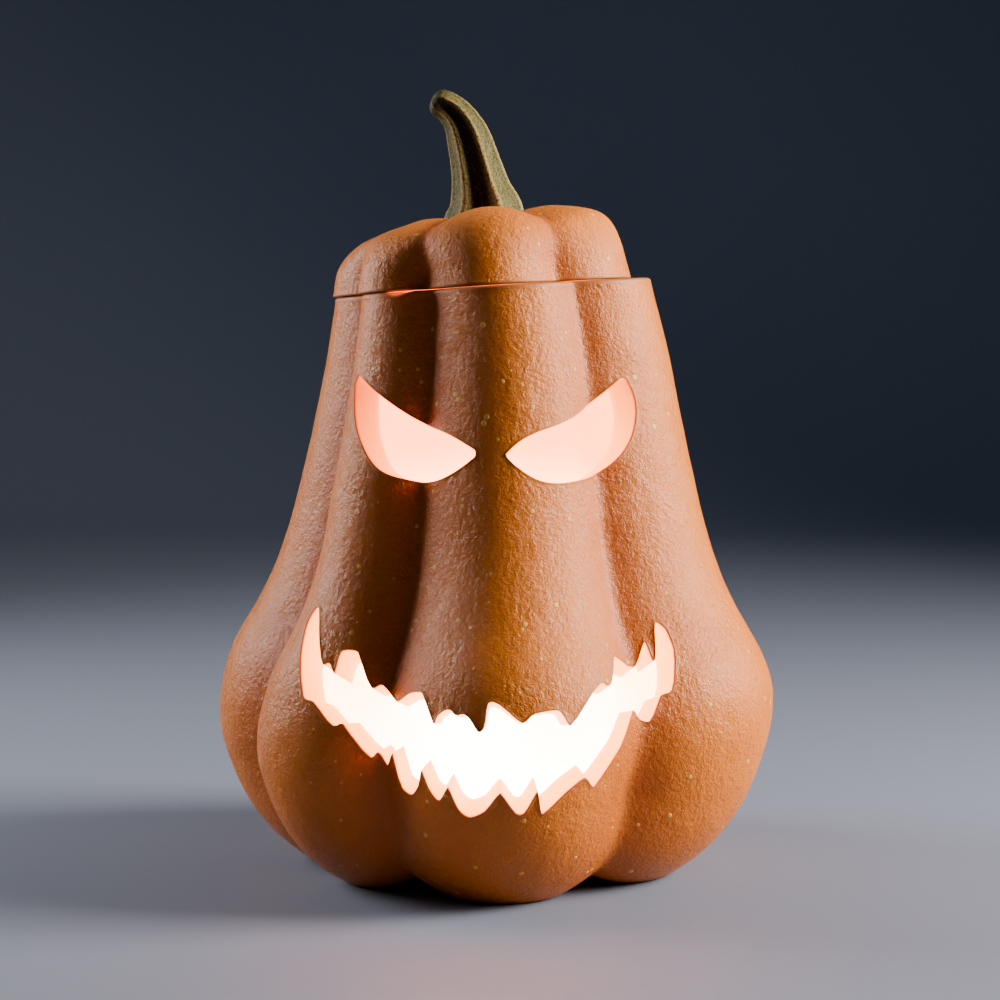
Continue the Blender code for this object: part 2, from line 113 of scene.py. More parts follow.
# The cut that frees the lid is a slanted plane, with a dip in the rim through which the flame's light and the
# painted glow show
CUT_HEIGHT = 261.3
CUT_RISE_X = 0.062
CUT_RISE_Y = -0.02
CUT_SEARCH = (200.0, 289.0)
CUT_SEARCH_STEPS = 40
SEAM_GAP = 0.3
RIM_ROUND = 2.0
LIP_ROUND = 1.5
INNER_ROUND = 1.0
DIP_DEPTH = 1.2
DIP_AZIMUTH = -38.0
DIP_HALF_WIDTH = 6.0

# The lid has dried smaller than the rim and sits a little to the left
LID_SCALE = 0.95
LID_SHIFT = -5.0

# Eyes as stretches between sharp corners, and the mouth's corners, both as (azimuth, height)
EYE_LEFT = [
    [(-50, 227), (-38, 216), (-26, 206.5), (-17, 202), (-7, 194)],
    [(-7, 191.5), (-12, 186.5), (-19, 182.5), (-29, 182.5), (-37, 185.5), (-43, 194.5), (-48, 206),
     (-52, 222.5)],
]
EYE_RIGHT = [
    [(1.5, 191.5), (3.5, 194.5), (17, 203.5), (31, 211.5), (44.5, 222)],
    [(46, 221.5), (48, 212), (46, 200), (41, 191), (33, 184.5), (23, 181), (10, 181.5), (4, 187.5)],
]
UPPER_LIP = [(-47.5, 126.5), (-43.5, 114), (-40, 103.5), (-39, 106.5), (-37, 101), (-37.5, 111.5),
             (-34, 113), (-29.5, 98.5), (-28, 103), (-23.5, 93.5), (-20, 98), (-16.5, 98),
             (-13, 82.5), (-12.5, 87.5), (-10, 90.5), (-8.5, 86.5), (-7.5, 88.5), (-6, 86.5),
             (-4, 80), (-3, 82), (-2.5, 93), (-0.5, 92), (4, 83.5), (6, 88), (11, 89.5),
             (13, 82), (18.5, 96.5), (21.5, 101.5), (22.5, 99), (24, 101), (27, 113.5),
             (34, 109.5), (38, 119), (38, 109.5), (39, 111.5), (41.5, 124.5)]
RIGHT_CORNER = [(43.5, 120.5), (43.5, 113), (40, 95)]
LOWER_LIP = [(37.5, 95), (35, 80.5), (32.5, 83), (30, 89.5), (26, 70.5), (24.5, 66.5), (20, 53.5),
             (17.5, 60.5), (13.5, 54.5), (9, 45.5), (8, 57.5), (5.5, 46.5), (4, 47), (1, 57),
             (-2, 47.5), (-5, 44), (-7, 47), (-9, 57.5), (-11, 49), (-12.5, 52), (-15, 63),
             (-15.5, 54.5), (-17.5, 48), (-20, 49.5), (-23, 67), (-24.5, 57.5), (-27, 66),
             (-28, 61.5), (-33.5, 81.5), (-35, 78.5), (-40, 89.5), (-42, 89)]
LEFT_CORNER = [(-43, 93.5), (-47.5, 110), (-49.5, 119), (-49, 124)]
CORNER_ROUND = 1.2
CORNER_SHARE = 0.35
LENGTH_PER_DEGREE = 1.9
EYE_POINT_SPACING = 2.0

# Stem centre line as (x, height, radius over the ridges), from its flared foot to its bent end
STEM_LINE = [(-7.9, 292, 18.8), (-7, 297, 17.7), (-8.2, 303.5, 14.8), (-9.6, 310.5, 12.8),
             (-11.7, 319.5, 11.4), (-14.2, 328.5, 10.3), (-18.4, 337, 8.4), (-23.2, 341.8, 7.3),
             (-27, 343.9, 6.7)]
STEM_INSET = 0.25
STEM_STEPS = 110
STEM_END_BULGE = 4.0
STEM_END_TURNS = range(8, 89, 8)
STEM_RIDGES = 6
STEM_RIDGE_AZIMUTH = 24.0
STEM_CHANNEL_DEPTH = 0.16
DEEP_CHANNEL_DEPTH = 0.28
DEEP_CHANNEL_AZIMUTH = -6.0
DEEP_CHANNEL_WIDTH = 24.0
STEM_RIDGE_SHARPNESS = 2.0
STEM_FLARE_HEIGHTS = (292.0, 308.0)
STEM_LEVEL_SHARE = 0.26
SEAT_PROBE_RADIUS = 15.0

# Mesh fineness
COLUMNS_PER_LOBE = 46
SKIN_ROWS = 150
HOLLOW_COLUMNS_PER_LOBE = 23
HOLLOW_ROWS = 70
LID_ROWS = 44
LID_UNDERSIDE_ROWS = 16
ROUND_ROWS = 4
INNER_ROUND_ROWS = 2
STEM_SIDES = 120

# Rows that round a carved edge, in degrees, and rows of a cut by depth in the wall, from 0 at the skin
# to 1 at the hollow
EDGE_TURNS = (30.0, 60.0, 90.0)
OPENING_DEPTHS = (0.09, 0.16, 0.26, 0.4, 0.6, 0.8)
ROUNDED_DEPTH = 0.1
CUT_DEPTH = 0.8
RIM_SHARES = (0.15, 0.4, 0.7, 1.0)
RIM_CORNER_DEPTH = 0.95
LID_SHARES = (0.3, 0.6, 0.85)
LID_CORNER_DEPTH = 0.97

# Weaving round an opening, in mesh cells, and how much less a thin tooth is widened at each try
OUTLINE_CLEARANCE = 0.45
SUPPORT_DISTANCE = 0.4
SUPPORT_CLEARANCE = 0.25
SUPPORT_SPACING = 0.2
WEAVE_TOLERANCE = 1e-7
TOOTH_SHRINK = 0.7

# Patterns below are in metres. A step is (start, end, level at the start, level at the end).
# Rind: the grain counts GRAIN_LENGTH millimetres of the section as one
GRAIN_LENGTH = 400.0
SKIN_STREAKS = 0.045
SKIN_CLOUDS = 0.032
SKIN_PATCHES = 0.009
SKIN_FLECKS = 0.0022
SKIN_DENTS = 0.012
WRINKLE_SHARE = 0.36
# Painted light and shade: the crest step makes the rind lighter on the lobes' crests and darker in the
# grooves
PAINTED_CREST_LIGHT_STEP = (0.05, 0.8)
FLECK_STEP = (0.62, 0.75, 0.0, 0.35)
# Painted shade: the rind leans towards its dark tone at the floor, fading out 6 cm up
PAINTED_FOOT_SHADE = (0.0, 0.06, 0.6, 0.0)
SKIN_ROUGHNESS = (0.3, 0.7, 0.24, 0.35)
DRY_CROWN = (0.272, 0.288, 0.0, 0.38)
SKIN_SHEEN = 0.29

# Dents fade out at the cuts and at the foot. The lid's skin is a little lighter, with dents of its own
DENT_EDGE = (0.0, 0.002, 1.0, 0.0)
DENT_HEIGHTS = (0.001, 0.006)
FLESH_START = 1e-4
LID_LIFT = 0.1
LID_SEED = 8.0

# Flesh: steps by depth in the wall, from 0 at the skin to 1 at the hollow, and by distance from the middle of
# the painted glow
FLESH_FIBRES = 0.004
FLESH_CLOUDS = 0.02
FLESH_GRAINS = 0.0012
FLESH_RELIEF = 0.0006
UNDER_SKIN_STEP = (0.0, 0.14)
EDGE_GLOW_STEP = (0.035, 0.13)
UNLIT_STEP = (0.0, 0.04)
HOLLOW_STEP = (0.94, 1.0)
# The glow is emission painted onto the flesh in place of the flame's light
NEAR_REACH = 0.095
FLAME_STEP = (0.048, 0.085, 1.0, 0.0)
WALL_STEP = (0.11, 0.185)

# Middle of the painted glow in the hollow, and the point that the openings' walls' painted glow fades away
# from, in millimetres
GLOW_HEART = (-4.0, 45.0, 50.0)
WALL_GLOW_CENTRE = (22.0, 0.0, 65.0)

# Stem: the tip counts from 0 at the foot to 1 at the end
STEM_FIBRES = 0.12
STEM_CLOUDS = 0.007
STEM_GRAINS = 0.0011
STEM_SHEEN = 0.15
STAIN_STEP = (0.35, 0.65)
RIDGE_STEP = (0.6, 0.97)
# Painted shade: the stem's deep channel is darkened nearly to black
PAINTED_CHANNEL_SHADE_STEP = (0.12, 0.5)
KNOB_STEP = (0.89, 0.93, 0.0, 0.7)
PALE_GRAIN_STEP = (0.5, 0.75, 0.0, 0.45)
DARK_GRAIN_STEP = (0.5, 0.36, 0.0, 0.75)
RIDGE_FADE = (0.8, 0.97, 1.0, 0.3)
RUN_LENGTH = 0.5
FIBRES_AROUND = 7.0

# Specks: flattened lenses of uneven size, none of them at the foot
SPECK_PATCHES = 0.006
SPECK_FLATNESS = 0.1
SPECK_SIZES = (0.55, 1.35)
SPECK_HEIGHTS = (0.003, 0.004)

# Studio, in metres: (name, power setting, place, target, width, spread in degrees, tint) of each softbox
SOFTBOXES = (
    ("right_softbox", "right_power", (1.3, -0.07, 0.7), (0.0, 0.0, 0.16), 0.62, 110.0, (1.0, 0.97, 0.94)),
    ("left_softbox", "left_power", (-1.1, 0.38, 0.6), (0.0, 0.0, 0.16), 0.6, 110.0, (0.95, 0.97, 1.0)),
    ("backdrop_softbox", "backdrop_power", (0.0, 1.5, 2.6), (0.0, 2.6, 0.6), 1.6, 150.0, (0.6, 0.76, 1.0)),
)
FLAME_TINT = (1.0, 0.5, 0.2)
FLAME_RADIUS = 0.012
SURROUNDINGS_TINT = (0.75, 0.85, 1.0, 1.0)
FLOOR_FRONT = -2.5
FLOOR_BACK = 1.6
FLOOR_BEND = 0.9
FLOOR_TURNS = range(6, 91, 6)
WALL_TOP = 3.2
FLOOR_HALF_WIDTH = 4.0
FLOOR_CLOUDS = 0.25
FLOOR_CLOUD_COLOUR = (0.135, 0.147, 0.186)

# Camera of the photograph, in millimetres and degrees
CAMERA_DISTANCE = 1175.0
CAMERA_HEIGHT = 262.0
CAMERA_PITCH = 4.7
CAMERA_LENS = 93.6
CAMERA_CLIP = 50.0


def smooth_step(low, high, value):
    """0 below low, 1 above high, and an S curve between."""
    k = np.clip((np.asarray(value, float) - low) / (high - low), 0.0, 1.0)
    return k * k * (3.0 - 2.0 * k)


def cubic_through(stations, values):
    """Natural cubic curve through the values, as a function of the station."""
    x = np.asarray(stations, float)
    y = np.asarray(values, float)
    count = len(x)
    step = np.diff(x)
    matrix = np.eye(count)
    right = np.zeros(count)
    for i in range(1, count - 1):
        matrix[i, i - 1:i + 2] = step[i - 1], 2.0 * (step[i - 1] + step[i]), step[i]
        right[i] = 6.0 * ((y[i + 1] - y[i]) / step[i] - (y[i] - y[i - 1]) / step[i - 1])
    bend = np.linalg.solve(matrix, right)

    def at(t):
        t = np.asarray(t, float)
        i = np.clip(np.searchsorted(x, t) - 1, 0, count - 2)
        a = (x[i + 1] - t) / step[i]
        b = 1.0 - a
        curve = (a ** 3 - a) * bend[i] + (b ** 3 - b) * bend[i + 1]
        return a * y[i] + b * y[i + 1] + curve * step[i] ** 2 / 6.0

    return at


def chord_lengths(points):
    """Length along the points, from the first to each."""
    steps = np.linalg.norm(np.diff(np.asarray(points, float), axis=0), axis=1)
    return np.concatenate([[0.0], np.cumsum(steps)])


STATIONS = chord_lengths(SECTION)
SECTION_LENGTH = STATIONS[-1]
section_radius = cubic_through(STATIONS, [p[0] for p in SECTION])
section_height = cubic_through(STATIONS, [p[1] for p in SECTION])


def section_normal(station):
    """Outward direction of the section, as (radial, upward)."""
    ahead = np.clip(station + NORMAL_PROBE, 0.0, SECTION_LENGTH)
    behind = np.clip(station - NORMAL_PROBE, 0.0, SECTION_LENGTH)
    along_r = section_radius(ahead) - section_radius(behind)
    along_z = section_height(ahead) - section_height(behind)
    length = np.hypot(along_r, along_z)
    return along_z / length, -along_r / length


def station_of_height(height):
    """Station on the pumpkin's side that has this height."""
    table = np.linspace(STATIONS[SIDE_START], STATIONS[SIDE_END], SIDE_TABLE)
    return np.interp(height, section_height(table), table)


def lobe_at(azimuth):
    """Index of the lobe at an azimuth, and how round the lobe stands there: 0 in a groove, 1 on the crest."""
    starts = np.array(LOBE_STARTS)
    turned = (np.asarray(azimuth, float) - starts[0]) % 360.0 + starts[0]
    index = np.clip(np.searchsorted(starts, turned, side="right") - 1, 0, len(LOBES) - 1)
    across = (turned - starts[index]) / (starts[index + 1] - starts[index])
    arch = np.sin(math.pi * np.clip(across, 0.0, 1.0)) ** 2
    floor = GROOVE_SOFTNESS ** LOBE_ROUNDNESS
    bulge = (arch + GROOVE_SOFTNESS ** 2) ** (LOBE_ROUNDNESS / 2.0) - floor
    return index, bulge / ((1.0 + GROOVE_SOFTNESS ** 2) ** (LOBE_ROUNDNESS / 2.0) - floor)


def lobe_relief(azimuth, station):
    """How far the skin stands off the round section: below 0 in the grooves."""
    index, bulge = lobe_at(azimuth)
    height = section_height(station)
    radius = section_radius(station)
    neck = smooth_step(*NECK_HEIGHTS, height)
    depth = GROOVE_DEPTH_BELLY + (GROOVE_DEPTH_CROWN - GROOVE_DEPTH_BELLY) * neck
    depth = GROOVE_DEPTH_FOOT + (depth - GROOVE_DEPTH_FOOT) * smooth_step(*FOOT_HEIGHTS, height)
    depth = depth * (1.0 - (1.0 - GROOVE_LEFT_ON_TOP) * smooth_step(*CROWN_HEIGHTS, height))
    fade = np.clip((radius - SEAT_RADIUS) / GROOVE_FADE_LENGTH, 0.0, 1.0) ** GROOVE_FADE_POWER
    belly = (1.0 - smooth_step(BELLY_FULL, BELLY_TOP, height)) * np.clip(radius / SWELL_RADIUS, 0.0, 1.0)
    crown = smooth_step(*CROWN_HEIGHTS, height) * fade
    belly_swell = np.array([lobe[1] for lobe in LOBES], float)[index]
    crown_swell = np.array([lobe[2] for lobe in LOBES], float)[index]
    return (belly_swell * belly + crown_swell * crown) * bulge - depth * fade * (1.0 - bulge)


def place(azimuth, station, offset):
    """Point at an azimuth and a station, moved outwards from the round section by the offset."""
    out_r, out_z = section_normal(station)
    height = section_height(station)
    radius = section_radius(station) + offset * out_r
    z = height + offset * out_z
    drift = DRIFT_ANGLE * (1.0 - smooth_step(*DRIFT_HEIGHTS, height))
    near = np.exp(-((azimuth - DRIFT_AZIMUTH) / DRIFT_SPREAD) ** 2)
    angle = np.radians(azimuth - drift * near)
    x = radius * np.sin(angle) + np.interp(z, *zip(*AXIS_SHIFT))
    y = -radius * np.cos(angle)
    tilt = BODY_TILT * smooth_step(*BODY_TILT_HEIGHTS, z) + CROWN_TILT * smooth_step(*CROWN_TILT_HEIGHTS, z)
    return np.stack([x, y, z + tilt * x], axis=-1)


def in_wall(azimuth, station, inward):
    """Point of the wall: the skin where inward is 0, and the hollow's surface where it is 1."""
    relief = lobe_relief(azimuth, station)
    skin = relief - SKIN_INSET
    hollow = HOLLOW_FOLLOWS * relief - WALL
    point = place(azimuth, station, skin + (hollow - skin) * inward)
    point[..., 2] = np.maximum(point[..., 2], 0.0)
    return point


def cut_height(x, y):
    """Height of the plane that cuts the lid free."""
    return CUT_HEIGHT + CUT_RISE_X * x + CUT_RISE_Y * y


def rim_dip(azimuth):
    """Depth of the dip in the rim, through which the glow shows below the lid."""
    across = np.clip((azimuth - DIP_AZIMUTH) / DIP_HALF_WIDTH, -1.0, 1.0)
    return DIP_DEPTH * np.cos(across * math.pi / 2.0) ** 2


def station_at_cut(azimuth, inward, lift):
    """Station where the skin or the hollow's surface meets the cutting plane raised by the lift."""
    low, high = (station_of_height(np.full_like(azimuth, height)) for height in CUT_SEARCH)
    for _ in range(CUT_SEARCH_STEPS):
        middle = (low + high) / 2.0
        point = in_wall(azimuth, middle, inward)
        above = point[..., 2] > cut_height(point[..., 0], point[..., 1]) + lift
        high = np.where(above, middle, high)
        low = np.where(above, low, middle)
    return (low + high) / 2.0


def lobe_columns(per_lobe):
    """Azimuths of the mesh columns, with one column in every groove."""
    columns = [start + (end - start) * k / per_lobe
               for start, end in zip(LOBE_STARTS, LOBE_STARTS[1:]) for k in range(per_lobe)]
    return np.array(columns, float)


def rounded_corner(before, corner, after, rows):
    """Rows of points that round a corner, from before to after."""
    steps = [k / rows for k in range(rows + 1)]
    return [(1 - t) ** 2 * before + 2 * t * (1 - t) * corner + t ** 2 * after for t in steps]


def towards(start, end, distance):
    """Point at a distance from start on the way to end."""
    way = end - start
    return start + way * (distance / np.linalg.norm(way, axis=-1, keepdims=True))


def settle_lid(point):
    """Shrink and shift a point of the lid while it stays at its height over the cut."""
    x = LID_SCALE * point[..., 0] + LID_SHIFT
    y = LID_SCALE * point[..., 1]
    z = point[..., 2] + cut_height(x, y) - cut_height(point[..., 0], point[..., 1])
    return np.stack([x, y, z], axis=-1)


def seat_height(x):
    """Height of the flat seat on the lid, which slopes with the crown."""
    sides = settle_lid(in_wall(np.array([-90.0, 90.0]), np.full(2, SECTION_LENGTH - SEAT_PROBE_RADIUS), 0.0))
    slope = (sides[1][2] - sides[0][2]) / (sides[1][0] - sides[0][0])
    return sides[0][2] + slope * (x - sides[0][0])


def corner_cut(points):
    """Closed outline smoothed by cutting its corners."""
    after = np.roll(points, -1, axis=0)
    return np.stack([0.75 * points + 0.25 * after, 0.25 * points + 0.75 * after], axis=1).reshape(-1, 2)


def mouth_outline():
    """Mouth as a closed outline in (length round the skin, height), its tooth tips rounded."""
    corners = np.array(UPPER_LIP + RIGHT_CORNER + LOWER_LIP + LEFT_CORNER, float) * (LENGTH_PER_DEGREE, 1.0)
    points = []
    for i, here in enumerate(corners):
        for other in (corners[i - 1], corners[(i + 1) % len(corners)]):
            length = np.linalg.norm(other - here)
            points.append(here + (other - here) * min(CORNER_ROUND / length, CORNER_SHARE))
    return corner_cut(np.array(points))


def eye_outline(stretches):
    """Eye as a closed outline in (length round the skin, height), smooth between its sharp corners."""
    points = []
    for stretch in stretches:
        flat = np.array(stretch, float) * (LENGTH_PER_DEGREE, 1.0)
        along = chord_lengths(flat)
        count = round(along[-1] / EYE_POINT_SPACING)
        t = np.linspace(0.0, along[-1], count + 1)
        points += list(np.stack([cubic_through(along, flat[:, k])(t) for k in range(2)], axis=1))
    return corner_cut(np.array(points))


def counter_clockwise(outline):
    """The outline, turned round if it runs clockwise."""
    x, y = outline.T
    area = np.sum(x * np.roll(y, -1) - np.roll(x, -1) * y)
    return outline if area > 0 else outline[::-1]


def turn(a, b, c):
    """Which way the corner a, b, c turns: above 0 if counter-clockwise."""
    ahead, aside = b - a, c - a
    return ahead[..., 0] * aside[..., 1] - ahead[..., 1] * aside[..., 0]


def crossing_sides(outline):
    """Which sides of the closed outline cross another of its sides."""
    end = np.roll(outline, -1, axis=0)
    a, b = outline[:, None], end[:, None]
    c, d = outline[None, :], end[None, :]
    crossed = (turn(a, b, c) * turn(a, b, d) < 0) & (turn(c, d, a) * turn(c, d, b) < 0)
    return crossed.any(axis=1)


def widened(outline, distance):
    """The counter-clockwise outline moved outwards, less far where a thin tooth would turn inside out."""
    before = outline - np.roll(outline, 1, axis=0)
    after = np.roll(outline, -1, axis=0) - outline
    along = before / np.linalg.norm(before, axis=1, keepdims=True)
    along = along + after / np.linalg.norm(after, axis=1, keepdims=True)
    along /= np.maximum(np.linalg.norm(along, axis=1, keepdims=True), 1e-6)
    outwards = np.stack([along[:, 1], -along[:, 0]], axis=1)
    step = np.full(len(outline), distance)
    crossed = crossing_sides(outline + outwards * step[:, None])
    while crossed.any():
        near = crossed | np.roll(crossed, 1) | np.roll(crossed, 2) | np.roll(crossed, -1)
        step[near] *= TOOTH_SHRINK
        crossed = crossing_sides(outline + outwards * step[:, None])
    return outline + outwards * step[:, None]


def inside_outline(points, outline):
    """Which of the points lie inside the closed outline."""
    result = np.zeros(len(points), bool)
    x, y = points.T
    for (ax, ay), (bx, by) in zip(outline, np.roll(outline, -1, axis=0)):
        if ay != by:
            crosses = ((ay > y) != (by > y)) & (x < (bx - ax) * (y - ay) / (by - ay) + ax)
            result ^= crosses
    return result


def gap_to_outline(points, outline):
    """Distance from each point to the closed outline."""
    nearest = np.full(len(points), np.inf)
    for a, b in zip(outline, np.roll(outline, -1, axis=0)):
        way = b - a
        k = np.clip((points - a) @ way / max(way @ way, 1e-12), 0.0, 1.0)
        nearest = np.minimum(nearest, np.linalg.norm(points - a - k[:, None] * way, axis=1))
    return nearest


def add_object(name, data):
    """New object in the scene, at the origin."""
    item = bpy.data.objects.new(name, data)
    bpy.context.scene.collection.objects.link(item)
    return item


class Fabric:
    """Points and faces of one piece while it is made, with how deep in the wall each point lies."""

    def __init__(self):
        self.points, self.inward, self.lit, self.flat, self.faces = [], [], [], [], []

    def add(self, points, inward, azimuth, station, lit=1.0):
        """Add points and return their numbers. Lit is how much of the hollow's painted glow they show."""
        points = np.atleast_2d(points)
        first = len(self.points)
        inward, lit, azimuth, station = (
            np.broadcast_to(item, len(points)) for item in (inward, lit, azimuth, station))
        self.points += list(points)
        self.inward += list(inward)
        self.lit += list(lit)
        self.flat += list(zip(azimuth, station))
        return np.arange(first, first + len(points))

    def add_wall(self, azimuth, station, inward):
        """Add points of the wall and return their numbers."""
        return self.add(in_wall(azimuth, station, inward), inward, azimuth, station)

    def bands(self, rings):
        """Close the strips between rings of points of equal count."""
        for lower, upper in zip(rings, rings[1:]):
            self.faces += zip(lower, np.roll(lower, -1), np.roll(upper, -1), upper)

    def fan(self, ring, tip, outwards=True):
        """Close a ring with a point in its middle."""
        for a, b in zip(ring, np.roll(ring, -1)):
            self.faces.append((tip, b, a) if outwards else (tip, a, b))

    def object(self, name):
        """The finished piece, with its points in the frame's metres and unused ones left out."""
        used = np.unique(np.concatenate([np.array(face) for face in self.faces]))
        number = np.full(len(self.points), -1)
        number[used] = np.arange(len(used))
        mesh = bpy.data.meshes.new(name)
        faces = [number[list(face)].tolist() for face in self.faces]
        mesh.from_pydata(in_frame(np.array(self.points)[used]).tolist(), [], faces)
        azimuth, station = np.array(self.flat)[used].T
        around = np.radians(azimuth)
        grain = np.stack([np.sin(around), np.cos(around), station / GRAIN_LENGTH], axis=1)
        inward, lit = np.array(self.inward)[used], np.array(self.lit)[used]
        for label, values in {"inward": inward, "lit": lit, "crest": lobe_at(azimuth)[1]}.items():
            mesh.attributes.new(label, "FLOAT", "POINT").data.foreach_set("value", values)
        mesh.attributes.new("grain", "FLOAT_VECTOR", "POINT").data.foreach_set("vector", grain.ravel())
        mesh.validate()
        mesh.shade_smooth()
        return add_object(name, mesh)


def frame_shift():
    """Where the pumpkin's axis stands in the frame, in millimetres: found from the lid's box."""
    columns = lobe_columns(COLUMNS_PER_LOBE)
    lip = station_at_cut(columns, 0.0, SEAM_GAP)
    stations = [lip + (SECTION_LENGTH - lip) * k / LID_ROWS for k in range(LID_ROWS)]
    own = np.concatenate([settle_lid(in_wall(columns, station, 0.0)) for station in stations])
    low, high = (np.array(corner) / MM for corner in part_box("lid"))
    return (low + high)[:2] / 2.0 - (own.min(axis=0) + own.max(axis=0))[:2] / 2.0


def in_frame(points):
    """Points of the pumpkin's own place, in the frame's metres."""
    return (np.asarray(points) + (*SHIFT, 0.0)) * MM


SHIFT = frame_shift()


def pierced_sheet(fabric, columns, limit, rows, inward, openings):
    """Weave one surface of the wall from the foot up to its limit, and leave the openings out of it.

    Each opening is a closed outline in (length round the skin, height). Returns the numbers of the last
    row's points, and of the points round each opening.
    """
    count = len(columns)
    wrapped = np.append(columns, columns[0] + 360.0)
    limits = np.append(limit, limit[0])
    grid = [fabric.add_wall(columns, limit * k / rows, inward) for k in range(1, rows + 1)]
    tip = fabric.add_wall(np.zeros(1), np.zeros(1), inward)[0]
    first_face = len(fabric.faces)
    whole = np.ones((rows - 1, count), bool)
    rings = []
    for opening in openings:
        azimuth = opening[:, 0] / LENGTH_PER_DEGREE
        station = station_of_height(opening[:, 1])
        u = np.interp(azimuth, wrapped, np.arange(count + 1))
        v = station / np.interp(azimuth, wrapped, limits) * rows - 1.0
        ring = fabric.add_wall(azimuth, station, inward)
        rings.append(ring)
        outline = np.stack([u, v], axis=1)
        left, low = np.floor(outline.min(axis=0)).astype(int) - 1
        right, high = np.ceil(outline.max(axis=0)).astype(int) + 1
        whole[low:high, left:right] = False
        lattice = np.array([(i, k) for k in range(low, high + 1) for i in range(left, right + 1)], float)
        border = ((lattice == (left, low)) | (lattice == (right, high))).any(axis=1)
        clear = ~inside_outline(lattice, outline) & (gap_to_outline(lattice, outline) > OUTLINE_CLEARANCE)
        lattice = lattice[border | clear]
        support = widened(outline, SUPPORT_DISTANCE)[::2]
        clear = ~inside_outline(support, outline) & (gap_to_outline(support, outline) > SUPPORT_CLEARANCE)
        near = np.abs(support[:, None, :] - lattice[None, :, :]).max(axis=2).min(axis=1)
        support = support[clear & (near > SUPPORT_SPACING)]
        support_azimuth = np.interp(support[:, 0], np.arange(count + 1), wrapped)
        support_station = (support[:, 1] + 1.0) / rows * np.interp(support_azimuth, wrapped, limits)
        support_ring = fabric.add_wall(support_azimuth, support_station, inward)
        numbers = [grid[int(k)][int(i)] for i, k in lattice] + list(support_ring) + list(ring)
        flat = np.concatenate([lattice, support, outline])
        first = len(flat) - len(outline)
        edges = [(first + i, first + (i + 1) % len(outline)) for i in range(len(outline))]
        result = delaunay_2d_cdt([Vector(p) for p in flat.tolist()], edges, [], 0, WEAVE_TOLERANCE)
        if len(result[0]) != len(flat):
            raise RuntimeError("an opening's outline crosses itself")
        source = [origin[0] for origin in result[3]]
        corners = np.array([[source[i] for i in face] for face in result[2]])
        middles = flat[corners].mean(axis=1)
        for face in corners[~inside_outline(middles, outline)]:
            face = face[::-1] if turn(*flat[face]) < 0 else face
            fabric.faces.append(tuple(numbers[i] for i in face))
    for k in range(rows - 1):
        lower, upper = grid[k], grid[k + 1]
        for i in np.flatnonzero(whole[k]):
            j = (i + 1) % count
            fabric.faces.append((lower[i], lower[j], upper[j], upper[i]))
    fabric.fan(grid[0], tip)
    if inward > 0.5:
        fabric.faces[first_face:] = [face[::-1] for face in fabric.faces[first_face:]]
    return grid[-1], rings


def opening_walls(fabric, outline, skin_ring, hollow_ring, edge_round):
    """Walls of an opening: a rounded edge at the skin, then straight through the flesh."""
    depths = [(edge_round * (1.0 - math.sin(angle)), edge_round * (1.0 - math.cos(angle)) / WALL)
              for angle in np.radians(EDGE_TURNS)]
    depths += [(0.0, depth) for depth in OPENING_DEPTHS]
    rings = [skin_ring]
    for aside, inward in depths:
        edge = widened(outline, aside) if aside > 0 else outline
        rings.append(fabric.add_wall(edge[:, 0] / LENGTH_PER_DEGREE, station_of_height(edge[:, 1]), inward))
    fabric.bands([*rings, hollow_ring])


def build_shell_fabric(edge_round):
    """The carved shell's mesh: skin, openings, hollow and rim."""
    fabric = Fabric()
    outlines = [eye_outline(EYE_LEFT), eye_outline(EYE_RIGHT), mouth_outline()]
    outlines = [counter_clockwise(outline) for outline in outlines]
    columns = lobe_columns(COLUMNS_PER_LOBE)
    inner_columns = lobe_columns(HOLLOW_COLUMNS_PER_LOBE)
    rim = station_at_cut(columns, 0.0, -rim_dip(columns))
    brink = station_at_cut(columns, 1.0, -rim_dip(columns))
    inner_brink = brink[::COLUMNS_PER_LOBE // HOLLOW_COLUMNS_PER_LOBE]
    skin_outlines = [widened(outline, edge_round) for outline in outlines]
    skin_top, skin_rings = pierced_sheet(fabric, columns, rim - RIM_ROUND, SKIN_ROWS, 0.0, skin_outlines)
    hollow_top, hollow_rings = pierced_sheet(
        fabric, inner_columns, inner_brink - INNER_ROUND, HOLLOW_ROWS, 1.0, outlines)
    for outline, skin_ring, hollow_ring in zip(outlines, skin_rings, hollow_rings):
        opening_walls(fabric, outline, skin_ring, hollow_ring, edge_round)

    corner = in_wall(columns, rim, 0.0)
    inner_corner = in_wall(columns, brink, 1.0)
    flat_start = towards(corner, inner_corner, RIM_ROUND)
    flat_end = towards(inner_corner, corner, INNER_ROUND)
    rounded = rounded_corner(in_wall(columns, rim - RIM_ROUND, 0.0), corner, flat_start, ROUND_ROWS)
    rows = [(row, ROUNDED_DEPTH * k / ROUND_ROWS) for k, row in enumerate(rounded)][1:]
    rows += [(flat_start + (flat_end - flat_start) * t, ROUNDED_DEPTH + CUT_DEPTH * t) for t in RIM_SHARES]
    rows += [(inner_corner, RIM_CORNER_DEPTH)]
    # The rim's cut face shows the painted glow only at the dip
    slit = rim_dip(columns) / DIP_DEPTH
    rings = [skin_top] + [fabric.add(row, inward, columns, rim, slit) for row, inward in rows]
    fabric.bands(rings)
    ring = rings[-1]
    for i, number in enumerate(hollow_top):
        a, b, c = ring[2 * i], ring[2 * i + 1], ring[(2 * i + 2) % len(ring)]
        after = hollow_top[(i + 1) % len(hollow_top)]
        fabric.faces += [(a, b, number), (b, after, number), (b, c, after)]
    return fabric


